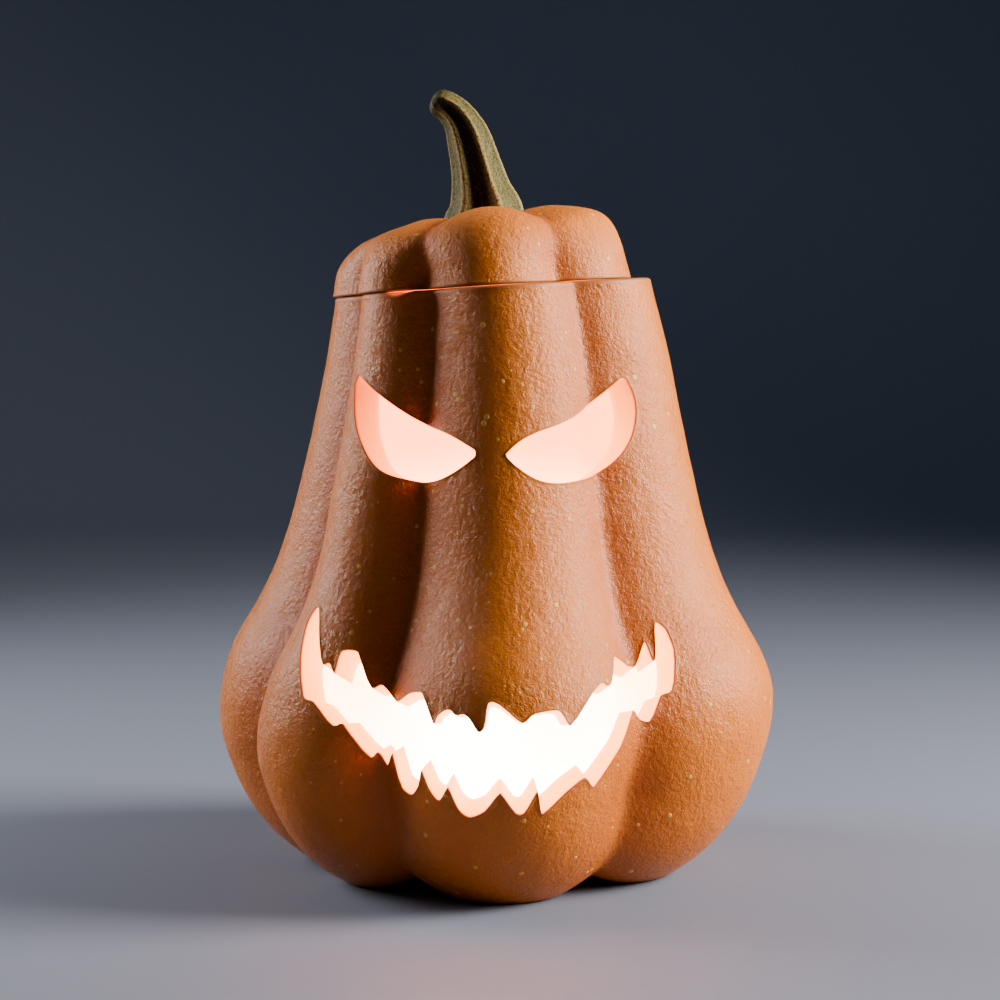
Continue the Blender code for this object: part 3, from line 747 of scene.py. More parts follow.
def build_lid_fabric():
    """The lid's mesh: hollow underside, cut face, lip and skin."""
    fabric = Fabric()
    columns = lobe_columns(COLUMNS_PER_LOBE)
    lip = station_at_cut(columns, 0.0, SEAM_GAP)
    brink = station_at_cut(columns, 1.0, SEAM_GAP)
    corner = in_wall(columns, lip, 0.0)
    inner_corner = in_wall(columns, brink, 1.0)
    start = brink + INNER_ROUND
    rows = []
    for k in range(1, LID_UNDERSIDE_ROWS):
        station = SECTION_LENGTH + (start - SECTION_LENGTH) * k / LID_UNDERSIDE_ROWS
        rows.append((in_wall(columns, station, 1.0), 1.0, station))
    flat_end = towards(corner, inner_corner, LIP_ROUND)
    rounded = rounded_corner(in_wall(columns, start, 1.0), inner_corner,
                             towards(inner_corner, corner, INNER_ROUND), INNER_ROUND_ROWS)
    rows += [(row, LID_CORNER_DEPTH, brink) for row in rounded]
    rows += [(rounded[-1] + (flat_end - rounded[-1]) * t, ROUNDED_DEPTH + CUT_DEPTH * (1.0 - t), lip)
             for t in LID_SHARES]
    start = lip + LIP_ROUND
    edge = rounded_corner(flat_end, corner, in_wall(columns, start, 0.0), ROUND_ROWS)
    rows += [(row, ROUNDED_DEPTH * (1.0 - k / ROUND_ROWS), lip) for k, row in enumerate(edge)]
    for k in range(1, LID_ROWS):
        station = start + (SECTION_LENGTH - start) * k / LID_ROWS
        rows.append((in_wall(columns, station, 0.0), 0.0, station))
    top = np.full(1, SECTION_LENGTH)
    tips = [fabric.add(settle_lid(in_wall(np.zeros(1), top, inward)), inward, 0.0, top)[0]
            for inward in (1.0, 0.0)]
    rings = [fabric.add(settle_lid(row), inward, columns, station, float(inward == 1.0))
             for row, inward, station in rows]
    fabric.fan(rings[0], tips[0])
    fabric.bands(rings)
    fabric.fan(rings[-1], tips[1], outwards=False)
    return fabric


class Wire:
    """One output of a node. Arithmetic on it adds Math nodes to its board."""

    def __init__(self, board, socket):
        self.board = board
        self.socket = socket

    def math(self, operation, *values):
        """A Math node with this wire first."""
        return self.board.node("ShaderNodeMath", {"operation": operation}, dict(enumerate((self, *values))))

    def __add__(self, other):
        return self.math("ADD", other)

    def __sub__(self, other):
        return self.math("SUBTRACT", other)

    def __rsub__(self, other):
        return -self + other

    def __mul__(self, other):
        return self.math("MULTIPLY", other)

    def __truediv__(self, other):
        return self.math("DIVIDE", other)

    def __rtruediv__(self, other):
        return self.math("POWER", -1.0).math("MULTIPLY", other)

    def __pow__(self, other):
        return self.math("POWER", other)

    def __neg__(self):
        return self.math("MULTIPLY", -1.0)

    __radd__ = __add__
    __rmul__ = __mul__


class Board:
    """A node tree while it is made."""

    def __init__(self, tree):
        self.tree = tree

    def fill(self, node, inputs):
        """Set a node's inputs to values or wires."""
        for key, value in inputs.items():
            if isinstance(value, Wire):
                self.tree.links.new(value.socket, node.inputs[key])
            else:
                node.inputs[key].default_value = value

    def node(self, kind, settings=None, inputs=None, output=0):
        """Any node: its settings first, then its inputs as values or wires. Returns one output."""
        node = self.tree.nodes.new(kind)
        for name, value in (settings or {}).items():
            setattr(node, name, value)
        self.fill(node, inputs or {})
        return Wire(self, node.outputs[output])

    def coordinates(self):
        """Object coordinates."""
        return self.node("ShaderNodeTexCoord", None, None, "Object")

    def attribute(self, name, output="Fac"):
        """The piece's own attribute, in a material."""
        return self.node("ShaderNodeAttribute", {"attribute_name": name}, None, output)

    def field(self, name, kind="FLOAT"):
        """The mesh's own attribute, in a geometry tree."""
        return self.node("GeometryNodeInputNamedAttribute", {"data_type": kind}, {"Name": name})

    def store(self, geometry, layers):
        """Keep fields on the geometry's points, given as {name: (kind, field)}."""
        for name, (kind, value) in layers.items():
            geometry = self.node("GeometryNodeStoreNamedAttribute", {"data_type": kind, "domain": "POINT"},
                                 {"Geometry": geometry, "Name": name, "Value": value})
        return geometry

    def mix(self, factor, first, second):
        """Colour between two colours, each a wire or red, green and blue."""
        first, second = (item if isinstance(item, Wire) else (*item[:3], 1.0) for item in (first, second))
        return self.node("ShaderNodeMix", {"data_type": "RGBA"}, {0: factor, 6: first, 7: second}, 2)

    def vector(self, operation, first, second, output="Vector"):
        """Vector Math of two vectors."""
        return self.node("ShaderNodeVectorMath", {"operation": operation}, {0: first, 1: second}, output)

    def scaled(self, vector, factor):
        """A vector times a number."""
        return self.node("ShaderNodeVectorMath", {"operation": "SCALE"}, {0: vector, "Scale": factor})

    def part(self, vector, axis):
        """One part of a vector: X, Y or Z."""
        return self.node("ShaderNodeSeparateXYZ", None, {0: vector}, axis)

    def join(self, *parts):
        """Vector of three numbers."""
        return self.node("ShaderNodeCombineXYZ", None, dict(enumerate(parts)))

    def step(self, value, low, high, to_low=0.0, to_high=1.0):
        """Smooth change from to_low to to_high while the value goes from low to high."""
        inputs = {"Value": value, "From Min": low, "From Max": high, "To Min": to_low, "To Max": to_high}
        return self.node("ShaderNodeMapRange", {"interpolation_type": "SMOOTHSTEP"}, inputs)

    def compare(self, operation, first, second):
        """Selection of where the first number is greater or less than the second."""
        settings = {"data_type": "FLOAT", "operation": operation}
        return self.node("FunctionNodeCompare", settings, {0: first, 1: second})

    def noise(self, vector, size, detail=2.0, roughness=0.5, distortion=0.0):
        """Soft cloud of spots of about this size."""
        return self.node("ShaderNodeTexNoise", None,
                         {"Vector": vector, "Scale": 1.0 / size, "Detail": detail, "Roughness": roughness,
                          "Distortion": distortion})

    def seeded_noise(self, vector, seed, scale, detail):
        """Soft cloud of spots that its seed changes."""
        return self.node("ShaderNodeTexNoise", {"noise_dimensions": "4D"},
                         {"Vector": vector, "W": seed, "Scale": scale, "Detail": detail})

    def bump(self, strength, distance, height):
        """Relief of this height, in metres."""
        inputs = {"Strength": strength, "Distance": distance, "Height": height}
        return self.node("ShaderNodeBump", None, inputs)


def new_material(name):
    """Empty material, with its board and its shader node."""
    material = bpy.data.materials.new(name)
    material.use_nodes = True
    shader = material.node_tree.nodes["Principled BSDF"]
    return material, Board(material.node_tree), shader


def pebbled_skin(name, skin, lift):
    """Waxy orange rind: pebbled and wrinkled, mottled, streaked, with painted light on the crests and painted
    shade in the grooves and at the foot.
    """
    material, board, shader = new_material(name)
    coordinates = board.coordinates()
    crest = board.attribute("crest")
    grain = board.attribute("grain", "Vector")
    height = board.part(coordinates, "Z")
    streaks = board.noise(grain, SKIN_STREAKS, 3.0, 0.6)
    clouds = board.noise(coordinates, SKIN_CLOUDS, 3.0, 0.55, 0.4)
    patches = board.noise(coordinates, SKIN_PATCHES, 2.0, 0.6)
    flecks = board.noise(coordinates, SKIN_FLECKS, 2.0, 0.6)
    # The tone mixes painted light on the crests and painted shade in the grooves with the rind's own streaks,
    # clouds and patches
    tone = board.step(crest, *PAINTED_CREST_LIGHT_STEP) * 0.6 + streaks * 0.45 + clouds * 0.5 + patches * 0.2 - 0.42 + lift
    base = board.mix(tone.math("MAXIMUM", 0.0).math("MINIMUM", 1.0), skin.groove_shade_and_dark_rind_colour, skin.lit_crest_and_pale_rind_colour)
    base = board.mix(board.step(flecks, *FLECK_STEP), base, skin.fleck_colour)
    # Painted shade at the foot
    base = board.mix(board.step(height, *PAINTED_FOOT_SHADE), base, skin.groove_shade_and_dark_rind_colour)
    pebbles = board.noise(coordinates, skin.pebble_size, 2.0, 0.5, 0.3)
    wrinkles = board.noise(coordinates, skin.pebble_size * WRINKLE_SHARE, 3.0, 0.6, 0.6)
    dents = board.noise(coordinates, SKIN_DENTS)
    bump = board.bump(1.0, skin.pebble_height * MM, pebbles + wrinkles * 0.6 + dents * 1.4)
    rough = board.step(patches * 0.5 + wrinkles * 0.5, *SKIN_ROUGHNESS) + board.step(height, *DRY_CROWN)
    board.fill(shader, {"Base Color": base, "Roughness": rough, "Normal": bump,
                        "Specular IOR Level": SKIN_SHEEN})
    return material


def flesh_with_painted_glow(name, flesh):
    """Cut flesh and hollow: deep orange under the skin, fibrous, with a painted glow palest near the flame.

    The openings' walls get a painted glow too, less towards the skin and away from their own centre.
    """
    material, board, shader = new_material(name)
    coordinates = board.coordinates()
    inward = board.attribute("inward")
    lit = board.attribute("lit")
    fibres = board.noise(coordinates, FLESH_FIBRES, 4.0, 0.65, 1.5)
    clouds = board.noise(coordinates, FLESH_CLOUDS)
    grains = board.noise(coordinates, FLESH_GRAINS)
    reach, wall_reach = (board.vector("DISTANCE", coordinates, tuple(in_frame(centre)), "Value")
                         for centre in (GLOW_HEART, WALL_GLOW_CENTRE))
    base = board.mix(board.step(inward, *UNDER_SKIN_STEP), flesh.under_skin_colour, flesh.cut_colour)
    base = board.mix(fibres * 0.35, base, flesh.fibre_colour)
    # Painted light: emission stands in for the flame's light on the hollow, the openings' walls and the dim
    # line under the skin
    hollow = board.mix(board.step(reach, NEAR_REACH, flesh.glow_reach), flesh.near_glow, flesh.far_glow)
    hollow = board.mix(board.step(reach, *FLAME_STEP), hollow, flesh.flame_glow)
    wall = board.mix(board.step(wall_reach, *WALL_STEP), flesh.wall_glow, flesh.far_wall_glow)
    glow = board.mix(board.step(inward, *HOLLOW_STEP), wall, hollow)
    glow = board.mix(board.step(inward, *EDGE_GLOW_STEP), flesh.edge_glow, glow)
    level = board.step(inward, *UNLIT_STEP) * lit * (clouds * 0.12 + fibres * 0.12 + 0.88)
    glow = board.mix(level, (0.0, 0.0, 0.0), glow)
    bump = board.bump(0.7, FLESH_RELIEF, fibres * 0.7 + grains * 0.3)
    board.fill(shader, {"Base Color": base, "Roughness": fibres * 0.2 + 0.45, "Normal": bump,
                        "Emission Color": glow, "Emission Strength": flesh.glow_strength})
    return material


def fibrous_bark(name, stem):
    """Dry stem: olive brown between tan ridges, painted shade nearly black in the deep channel, dark at the
    tip, fibrous.
    """
    material, board, shader = new_material(name)
    coordinates = board.coordinates()
    ridge, tip, deep = (board.attribute(label) for label in ("ridge", "tip", "deep"))
    fibres = board.noise(board.attribute("run", "Vector"), STEM_FIBRES, 4.0, 0.65)
    clouds = board.noise(coordinates, STEM_CLOUDS, 3.0, 0.6)
    grains = board.noise(coordinates, STEM_GRAINS, 2.0, 0.6)
    # Painted shade in the deep channel; the same dark colour also marks the stem's dark grains
    channel = deep * (1.0 - ridge) + fibres * 0.2 - 0.1
    base = board.mix(board.step(clouds, *STAIN_STEP), stem.panel_colour, stem.stain_colour)
    base = board.mix(board.step(ridge + fibres * 0.3 - 0.15, *RIDGE_STEP), base, stem.ridge_colour)
    base = board.mix(board.step(channel, *PAINTED_CHANNEL_SHADE_STEP), base, stem.channel_shade_and_dark_grain_colour)
    base = board.mix(board.step(tip + grains * 0.06 - 0.03, *KNOB_STEP), base, stem.knob_colour)
    base = board.mix(board.step(grains, *PALE_GRAIN_STEP), base, stem.ridge_colour)
    base = board.mix(board.step(grains, *DARK_GRAIN_STEP), base, stem.channel_shade_and_dark_grain_colour)
    bump = board.bump(1.0, stem.fibre_height, fibres * 0.8 + clouds * 0.4 + grains * 0.7)
    board.fill(shader, {"Base Color": base, "Roughness": fibres * 0.2 + 0.6, "Normal": bump,
                        "Specular IOR Level": STEM_SHEEN})
    return material


def corky_speck(name, skin):
    """Dry yellow speck on the skin."""
    material, board, shader = new_material(name)
    patches = board.noise(board.coordinates(), SPECK_PATCHES)
    base = board.mix(patches, skin.speck_colour, skin.fleck_colour)
    board.fill(shader, {"Base Color": base, "Roughness": patches * 0.2 + 0.5})
    return material


def pale_floor(name, stage):
    """Matt pale floor with a trace of unevenness."""
    material, board, shader = new_material(name)
    clouds = board.noise(board.coordinates(), FLOOR_CLOUDS, 3.0)
    base = board.mix(clouds * 0.12, stage.floor_colour, FLOOR_CLOUD_COLOUR)
    board.fill(shader, {"Base Color": base, "Roughness": clouds * 0.1 + 0.6})
    return material


def new_tree(name, inputs):
    """Geometry node tree with inputs as {name: (kind, default)}. Returns its board and the inputs' wires."""
    tree = bpy.data.node_groups.new(name, "GeometryNodeTree")
    tree.interface.new_socket("Geometry", in_out="INPUT", socket_type="NodeSocketGeometry")
    for label, (kind, default) in inputs.items():
        socket = tree.interface.new_socket(label, in_out="INPUT", socket_type="NodeSocket" + kind)
        if default is not None:
            socket.default_value = default
    tree.interface.new_socket("Geometry", in_out="OUTPUT", socket_type="NodeSocketGeometry")
    board = Board(tree)
    entry = tree.nodes.new("NodeGroupInput")
    return board, {label: Wire(board, entry.outputs[label]) for label in ["Geometry", *inputs]}


def end_tree(board, geometry, materials):
    """Realize what the tree made, give it its (material, selection) pairs and send it out."""
    geometry = board.node("GeometryNodeRealizeInstances", None, {"Geometry": geometry})
    for material, selection in materials:
        inputs = {"Geometry": geometry, "Material": material}
        if selection is not None:
            inputs["Selection"] = selection
        geometry = board.node("GeometryNodeSetMaterial", None, inputs)
    way_out = board.tree.nodes.new("NodeGroupOutput")
    board.fill(way_out, {"Geometry": geometry})
    return board.tree


def run_tree(item, tree, values):
    """Run the tree with these values on the object, and return the object with the result as its mesh."""
    modifier = item.modifiers.new(tree.name, "NODES")
    modifier.node_group = tree
    for entry in tree.interface.items_tree:
        if entry.in_out == "INPUT" and entry.name in values:
            modifier[entry.identifier] = values[entry.name]
    bpy.context.view_layer.update()
    graph = bpy.context.evaluated_depsgraph_get()
    mesh = bpy.data.meshes.new_from_object(item.evaluated_get(graph), preserve_all_data_layers=True,
                                           depsgraph=graph)
    name = item.name
    if item.type == "MESH":
        item.modifiers.clear()
        item.data = mesh
    else:
        bpy.data.objects.remove(item, do_unlink=True)
        item = add_object(name, mesh)
    mesh.name = name
    mesh.shade_smooth()
    return item


def skin_relief_tree():
    """Shallow dents in the skin, then the two materials: skin outside, flesh wherever the knife went."""
    board, given = new_tree("lantern_skin_relief", {
        "Dent Depth": ("Float", 0.0004), "Dent Size": ("Float", 0.014), "Seed": ("Float", 3.0),
        "Skin": ("Material", None), "Flesh": ("Material", None)})
    inward = board.field("inward")
    position = board.node("GeometryNodeInputPosition")
    cloud = board.seeded_noise(position, given["Seed"], 1.0 / given["Dent Size"], 2.0)
    on_skin = board.step(inward, *DENT_EDGE) * board.step(board.part(position, "Z"), *DENT_HEIGHTS)
    sink = cloud * given["Dent Depth"] * on_skin * -1.0
    move = board.scaled(board.node("GeometryNodeInputNormal"), sink)
    geometry = board.node("GeometryNodeSetPosition", None, {"Geometry": given["Geometry"], "Offset": move})
    cut = board.compare("GREATER_THAN", inward, FLESH_START)
    return end_tree(board, geometry, [(given["Skin"], None), (given["Flesh"], cut)])


def ridged_stem_tree():
    """Stem swept along its centre line: a ring of ridges and channels that fades towards the end."""
    board, given = new_tree("lantern_ridged_stem", {
        "Ridges": ("Float", float(STEM_RIDGES)), "Ridge Azimuth": ("Float", STEM_RIDGE_AZIMUTH),
        "Channel Depth": ("Float", STEM_CHANNEL_DEPTH), "Deep Channel Depth": ("Float", DEEP_CHANNEL_DEPTH),
        "Sharpness": ("Float", STEM_RIDGE_SHARPNESS), "Fibre Depth": ("Float", 0.0003),
        "Seed": ("Float", 1.0), "Bark": ("Material", None)})
    position = board.node("GeometryNodeInputPosition")
    tangent = board.node("GeometryNodeInputTangent")
    factor = board.node("GeometryNodeSplineParameter", None, None, "Factor")
    line = board.store(given["Geometry"], {
        "centre": ("FLOAT_VECTOR", position), "way": ("FLOAT_VECTOR", tangent), "tip": ("FLOAT", factor)})
    ring = board.node("GeometryNodeCurvePrimitiveCircle", {"mode": "RADIUS"},
                      {"Resolution": STEM_SIDES, "Radius": 1.0})
    girth = board.node("GeometryNodeInputRadius")
    tube = board.node("GeometryNodeCurveToMesh", None,
                      {"Curve": line, "Profile Curve": ring, "Scale": girth, "Fill Caps": True})

    # The ring's points, seen from the centre line: sideways, forwards and as an angle round it
    centre = board.field("centre", "FLOAT_VECTOR")
    way = board.field("way", "FLOAT_VECTOR")
    tip = board.field("tip")
    out = board.vector("SUBTRACT", position, centre)
    side = board.vector("CROSS_PRODUCT", (0.0, 1.0, 0.0), way)
    aside = board.vector("DOT_PRODUCT", out, side, "Value")
    forward = -board.part(out, "Y")
    angle = aside.math("ARCTAN2", forward)
    wave = ((angle - given["Ridge Azimuth"] * (math.pi / 180.0)) * given["Ridges"]).math("COSINE")
    crest = ((wave + 1.0) * 0.5) ** given["Sharpness"]
    from_deep = (angle - math.radians(DEEP_CHANNEL_AZIMUTH)) / math.radians(DEEP_CHANNEL_WIDTH)
    gully = (from_deep * from_deep * -1.0).math("EXPONENT")
    depth = gully * given["Deep Channel Depth"] + given["Channel Depth"]
    shrink = (1.0 - crest) * depth * board.step(tip, *RIDGE_FADE) * -1.0

    # Rings are level at the foot, where the line bends too tightly for them to lean
    lean = board.part(way, "X").math("ARCTAN2", board.part(way, "Z")) * board.step(tip, 0.0, STEM_LEVEL_SHARE)
    level_out = board.join(aside * lean.math("COSINE"), -forward, aside * lean.math("SINE") * -1.0)
    move = board.vector("SUBTRACT", board.scaled(level_out, shrink + 1.0), out)
    run = board.join(angle.math("SINE"), angle.math("COSINE"), tip * RUN_LENGTH)
    fibres = board.seeded_noise(run, given["Seed"], FIBRES_AROUND, 3.0)
    outwards = board.node("ShaderNodeVectorMath", {"operation": "NORMALIZE"}, {0: out})
    fibre_move = board.scaled(outwards, fibres * given["Fibre Depth"] * -1.0)
    tube = board.store(tube, {
        "ridge": ("FLOAT", crest), "deep": ("FLOAT", gully), "run": ("FLOAT_VECTOR", run)})
    move = board.vector("ADD", move, fibre_move)
    tube = board.node("GeometryNodeSetPosition", None, {"Geometry": tube, "Offset": move})
    tube = board.node("GeometryNodeSetShadeSmooth", None, {"Geometry": tube})
    return end_tree(board, tube, [(given["Bark"], None)])


def specks_tree():
    """Small flat specks strewn over the skin of the shell and the lid."""
    board, given = new_tree("lantern_specks", {
        "Shell": ("Object", None), "Lid": ("Object", None), "Specks per Area": ("Float", 1600.0),
        "Speck Size": ("Float", 0.0005), "Seed": ("Int", 5), "Speck": ("Material", None)})
    skins = board.node("GeometryNodeJoinGeometry")
    for label in ("Shell", "Lid"):
        skin = board.node("GeometryNodeObjectInfo", None, {"Object": given[label]}, "Geometry")
        board.fill(skins.socket.node, {"Geometry": skin})
    height = board.part(board.node("GeometryNodeInputPosition"), "Z")
    # Depth in the wall is 0 on the skin, and the step is 1 from just above the foot
    on_skin = board.compare("LESS_THAN", board.field("inward") - board.step(height, *SPECK_HEIGHTS), -0.9999)
    scatter = board.node("GeometryNodeDistributePointsOnFaces", {"distribute_method": "RANDOM"}, {
        "Mesh": skins, "Selection": on_skin, "Density": given["Specks per Area"], "Seed": given["Seed"]})
    turn = Wire(board, scatter.socket.node.outputs["Rotation"])
    lens = board.node("GeometryNodeMeshIcoSphere", None, {"Radius": 1.0, "Subdivisions": 2})
    lens = board.node("GeometryNodeTransform", None, {"Geometry": lens, "Scale": (1.0, 1.0, SPECK_FLATNESS)})
    size = board.node("FunctionNodeRandomValue", {"data_type": "FLOAT"},
                      {"Min": SPECK_SIZES[0], "Max": SPECK_SIZES[1], "Seed": given["Seed"]}, 1)
    specks = board.node("GeometryNodeInstanceOnPoints", None, {
        "Points": scatter, "Instance": lens, "Rotation": turn, "Scale": size * given["Speck Size"]})
    return end_tree(board, specks, [(given["Speck"], None)])


def colour_setting(name, description, default):
    """Setting for a colour."""
    return FloatVectorProperty(name=name, description=description, subtype="COLOR", size=3, min=0.0, max=1.0,
                               default=default)


def length_setting(name, description, default):
    """Setting for a size in metres."""
    return FloatProperty(name=name, description=description, subtype="DISTANCE", unit="LENGTH",
                         default=default)


def number_setting(name, description, default):
    """Setting for a plain number."""
    return FloatProperty(name=name, description=description, default=default)


class LanternSkin(bpy.types.PropertyGroup):
    """Finish of the rind."""
    # Pale and dark rind tones: the pale one also paints light on the crests, the dark one paints shade in the
    # grooves and at the foot
    lit_crest_and_pale_rind_colour: colour_setting("Crest", "Colour of the lobes", (0.72, 0.18, 0.005))
    groove_shade_and_dark_rind_colour: colour_setting("Groove", "Colour in the grooves", (0.5, 0.1, 0.002))
    fleck_colour: colour_setting("Fleck", "Colour of the faint flecks", (0.72, 0.3, 0.05))
    speck_colour: colour_setting("Speck", "Colour of the corky specks", (0.85, 0.47, 0.05))
    pebble_size: length_setting("Pebble size", "Width of the skin's pebbles", 0.0021)
    pebble_height: number_setting("Pebble height", "Height of the skin's pebbles, in millimetres", 0.65)
    dent_depth: length_setting("Dent depth", "Depth of the shallow dents", 0.0006)
    speck_density: number_setting("Specks", "Specks per square metre of skin", 2200.0)
    speck_size: length_setting("Speck size", "Radius of a speck", 0.0009)
    seed: IntProperty(name="Seed", description="Which scatter of specks", default=5)


class LanternFlesh(bpy.types.PropertyGroup):
    """Finish of the flesh, and its painted glow."""
    cut_colour: colour_setting("Cut", "Colour of the cut flesh", (0.4, 0.14, 0.01))
    under_skin_colour: colour_setting("Under skin", "Colour just under the skin", (0.45, 0.09, 0.006))
    fibre_colour: colour_setting("Fibres", "Colour of the fibres", (0.5, 0.2, 0.02))
    # Emission colours: painted light that stands in for the flame's light in the flesh
    near_glow: colour_setting("Near glow", "Glow close to the flame", (0.75, 0.46, 0.22))
    flame_glow: colour_setting("Flame glow", "Glow right round the flame", (1.0, 1.0, 0.9))
    far_glow: colour_setting("Far glow", "Glow of the hollow far from the flame", (0.6, 0.08, 0.001))
    wall_glow: colour_setting("Wall glow", "Glow of the openings' walls", (0.42, 0.135, 0.02))
    far_wall_glow: colour_setting("Far wall glow", "Glow of the walls far from the flame", (0.1, 0.016, 0.0))
    edge_glow: colour_setting("Edge glow", "Glow of the line under the skin", (0.012, 0.001, 0.0001))
    glow_strength: number_setting("Glow", "Strength of the glow", 16.0)
    glow_reach: length_setting("Glow reach", "How far from the flame the pale glow ends", 0.145)
    flame_power: number_setting("Flame power", "Power of the light in the hollow, in watts", 0.6)
    edge_round: length_setting("Edge round", "Rounding of the carved edges", 0.0006)


class LanternStem(bpy.types.PropertyGroup):
    """Finish of the stem."""
    panel_colour: colour_setting("Panel", "Colour between ridge and channel", (0.125, 0.1, 0.025))
    ridge_colour: colour_setting("Ridge", "Colour of the dry ridges", (0.3, 0.2, 0.055))
    # Nearly black: painted shade in the deep channel, and the colour of the dark grains
    channel_shade_and_dark_grain_colour: colour_setting("Channel", "Colour deep in the channels", (0.028, 0.017, 0.005))
    stain_colour: colour_setting("Stain", "Colour of the greener stains", (0.085, 0.08, 0.02))
    knob_colour: colour_setting("Knob", "Colour of the dried end", (0.045, 0.04, 0.014))
    fibre_height: length_setting("Fibre height", "Height of the fibres", 0.0005)


class LanternStage(bpy.types.PropertyGroup):
    """Floor, lights and surroundings."""
    floor_colour: colour_setting("Floor", "Colour of the floor", (0.165, 0.178, 0.222))
    right_power: number_setting("Right light", "Power of the right softbox, in watts", 29.5)
    left_power: number_setting("Left light", "Power of the left softbox, in watts", 8.5)
    backdrop_power: number_setting("Backdrop light", "Power of the light on the backdrop, in watts", 5.5)
    surroundings: number_setting("Surroundings", "Brightness of the surroundings", 0.025)


class BuildShell(bpy.types.Operator):
    """Build the carved shell with its openings, hollow and rim"""
    bl_idname = "lantern.build_shell"
    bl_label = "Build shell"

    def execute(self, context):
        skin = context.scene.lantern_skin
        flesh = context.scene.lantern_flesh
        piece = build_shell_fabric(flesh.edge_round / MM).object("carved_shell")
        values = {"Dent Depth": skin.dent_depth, "Skin": pebbled_skin("shell_skin", skin, 0.0),
                  "Flesh": flesh_with_painted_glow("shell_flesh", flesh)}
        piece = run_tree(piece, skin_relief_tree(), values)
        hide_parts("shell")
        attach(piece, "root")
        return {"FINISHED"}


class BuildLid(bpy.types.Operator):
    """Build the lid with its cut face and hollow underside"""
    bl_idname = "lantern.build_lid"
    bl_label = "Build lid"

    def execute(self, context):
        skin = context.scene.lantern_skin
        flesh = context.scene.lantern_flesh
        piece = build_lid_fabric().object("cut_lid")
        values = {"Dent Depth": skin.dent_depth, "Seed": LID_SEED,
                  "Skin": pebbled_skin("lid_skin", skin, LID_LIFT),
                  "Flesh": flesh_with_painted_glow("lid_flesh", flesh)}
        piece = run_tree(piece, skin_relief_tree(), values)
        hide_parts("lid")
        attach(piece, "root")
        return {"FINISHED"}


def stem_centre_line():
    """Centre line of the stem with its radius at each point, and a rounded end."""
    line = np.array(STEM_LINE)
    along = chord_lengths(line[:, :2])
    curves = [cubic_through(along, line[:, k]) for k in range(3)]
    t = np.linspace(0.0, along[-1], STEM_STEPS)
    points = [(x, z, radius - STEM_INSET) for x, z, radius in zip(*(curve(t) for curve in curves))]
    end_x, end_z, end_radius = points[-1]
    way = np.array(points[-1][:2]) - np.array(points[-2][:2])
    way /= np.linalg.norm(way)
    for angle in np.radians(STEM_END_TURNS):
        ahead = STEM_END_BULGE * math.sin(angle)
        points.append((end_x + way[0] * ahead, end_z + way[1] * ahead, end_radius * math.cos(angle)))
    return points


class BuildStem(bpy.types.Operator):
    """Build the ridged stem along its centre line"""
    bl_idname = "lantern.build_stem"
    bl_label = "Build stem"

    def execute(self, context):
        stem = context.scene.lantern_stem
        curve = bpy.data.curves.new("ridged_stem", "CURVE")
        curve.dimensions = "3D"
        points = stem_centre_line()
        spline = curve.splines.new("POLY")
        spline.points.add(len(points) - 1)
        for point, (x, z, radius) in zip(spline.points, points):
            point.co = (*in_frame((x, 0.0, z)), 1.0)
            point.radius = radius * MM
        piece = add_object("ridged_stem", curve)
        piece = run_tree(piece, ridged_stem_tree(), {"Bark": fibrous_bark("stem_bark_fibres", stem)})
        # The foot follows the lid's seat, which rises and falls under it
        for vertex in piece.data.vertices:
            rise = seat_height(vertex.co.x / MM - SHIFT[0]) - STEM_LINE[0][1]
            vertex.co.z += rise * (1.0 - float(smooth_step(*STEM_FLARE_HEIGHTS, vertex.co.z / MM))) * MM
        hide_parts("stem")
        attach(piece, "root")
        return {"FINISHED"}


class ScatterSpecks(bpy.types.Operator):
    """Strew corky specks over the skin of the shell and the lid"""
    bl_idname = "lantern.scatter_specks"
    bl_label = "Scatter specks"

    def execute(self, context):
        skin = context.scene.lantern_skin
        piece = add_object("skin_specks", bpy.data.meshes.new("skin_specks"))
        values = {"Shell": bpy.data.objects["carved_shell"], "Lid": bpy.data.objects["cut_lid"],
                  "Specks per Area": skin.speck_density, "Speck Size": skin.speck_size, "Seed": skin.seed,
                  "Speck": corky_speck("skin_speck", skin)}
        piece = run_tree(piece, specks_tree(), values)
        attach(piece, "root")
        return {"FINISHED"}


def soft_light(name, power, location, target, size, spread, colour):
    """Square softbox that faces its target."""
    light = bpy.data.lights.new(name, "AREA")
    light.shape = "SQUARE"
    light.size = size
    light.energy = power
    light.color = colour
    light.spread = math.radians(spread)
    item = add_object(name, light)
    item.location = location
    item.rotation_euler = (Vector(target) - Vector(location)).to_track_quat("-Z", "Y").to_euler()


def swept_backdrop(name, material):
    """Floor that curves up into a back wall."""
    profile = [(FLOOR_FRONT, 0.0), (FLOOR_BACK, 0.0)]
    profile += [(FLOOR_BACK + FLOOR_BEND * math.sin(angle), FLOOR_BEND * (1.0 - math.cos(angle)))
                for angle in np.radians(FLOOR_TURNS)]
    profile.append((FLOOR_BACK + FLOOR_BEND, WALL_TOP))
    points = [(x, y, z) for y, z in profile for x in (-FLOOR_HALF_WIDTH, FLOOR_HALF_WIDTH)]
    faces = [(2 * i, 2 * i + 1, 2 * i + 3, 2 * i + 2) for i in range(len(profile) - 1)]
    mesh = bpy.data.meshes.new(name)
    mesh.from_pydata(points, [], faces)
    mesh.shade_smooth()
    mesh.materials.append(material)
    return add_object(name, mesh)


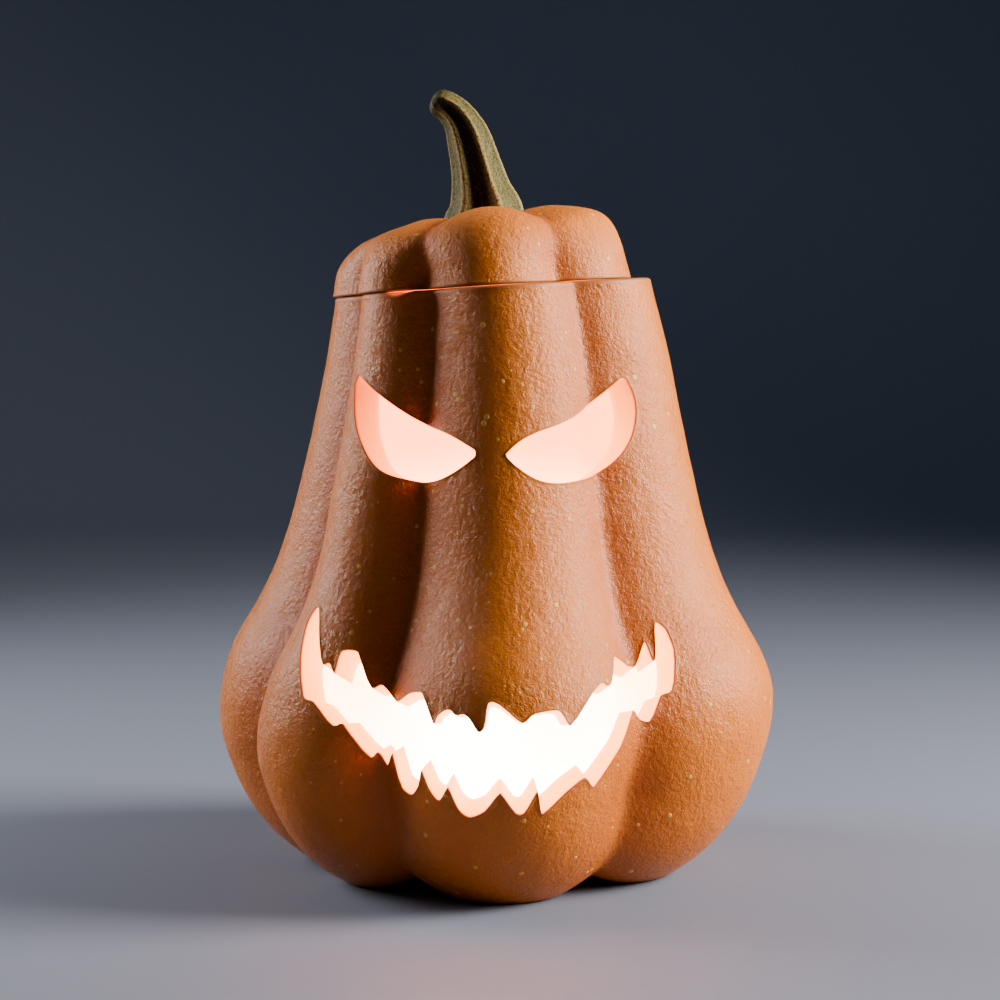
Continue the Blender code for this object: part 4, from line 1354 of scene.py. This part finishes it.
class SetStage(bpy.types.Operator):
    """Set the floor, the soft lights, the light in the hollow and the camera"""
    bl_idname = "lantern.set_stage"
    bl_label = "Set stage"

    def execute(self, context):
        stage = context.scene.lantern_stage
        swept_backdrop("studio_floor", pale_floor("pale_floor", stage))
        for name, power, *rest in SOFTBOXES:
            soft_light(name, getattr(stage, power), *rest)
        flame = bpy.data.lights.new("flame", "POINT")
        flame.energy = context.scene.lantern_flesh.flame_power
        flame.color = FLAME_TINT
        flame.shadow_soft_size = FLAME_RADIUS
        add_object("flame", flame).location = in_frame(GLOW_HEART)
        world = bpy.data.worlds.new("studio")
        world.use_nodes = True
        surroundings = world.node_tree.nodes["Background"]
        surroundings.inputs["Color"].default_value = SURROUNDINGS_TINT
        surroundings.inputs["Strength"].default_value = stage.surroundings
        context.scene.world = world
        camera = bpy.data.cameras.new("photo_camera")
        camera.lens = CAMERA_LENS
        camera.clip_start = CAMERA_CLIP * MM
        eye = add_object("photo_camera", camera)
        eye.location = in_frame((0.0, -CAMERA_DISTANCE, CAMERA_HEIGHT))
        eye.rotation_euler = (math.radians(90.0 - CAMERA_PITCH), 0.0, 0.0)
        context.scene.camera = eye
        return {"FINISHED"}


class LanternPanel(bpy.types.Panel):
    """Steps and finishes of the lantern"""
    bl_idname = "VIEW3D_PT_lantern"
    bl_label = "Carved pumpkin lantern"
    bl_space_type = "VIEW_3D"
    bl_region_type = "UI"
    bl_category = "Lantern"

    def draw(self, context):
        for group in GROUPS.values():
            box = self.layout.box()
            settings = getattr(context.scene, group)
            for name in settings.__annotations__:
                box.prop(settings, name)
        for operator in STEPS:
            self.layout.operator(operator.bl_idname)


GROUPS = {LanternSkin: "lantern_skin", LanternFlesh: "lantern_flesh", LanternStem: "lantern_stem",
          LanternStage: "lantern_stage"}
STEPS = (BuildShell, BuildLid, BuildStem, ScatterSpecks, SetStage)


def register():
    """Make the groups, steps and panel known to Blender."""
    for group, name in GROUPS.items():
        bpy.utils.register_class(group)
        setattr(bpy.types.Scene, name, PointerProperty(type=group))
    for item in (*STEPS, LanternPanel):
        bpy.utils.register_class(item)


def unregister():
    """Take them away again."""
    for item in (LanternPanel, *STEPS):
        bpy.utils.unregister_class(item)
    for group, name in GROUPS.items():
        delattr(bpy.types.Scene, name)
        bpy.utils.unregister_class(group)


def main():
    """Build every piece and set the stage."""
    register()
    bpy.ops.lantern.build_shell()
    bpy.ops.lantern.build_lid()
    bpy.ops.lantern.build_stem()
    bpy.ops.lantern.scatter_specks()
    bpy.ops.lantern.set_stage()
    bpy.context.view_layer.update()


if __name__ == "__main__":
    main()
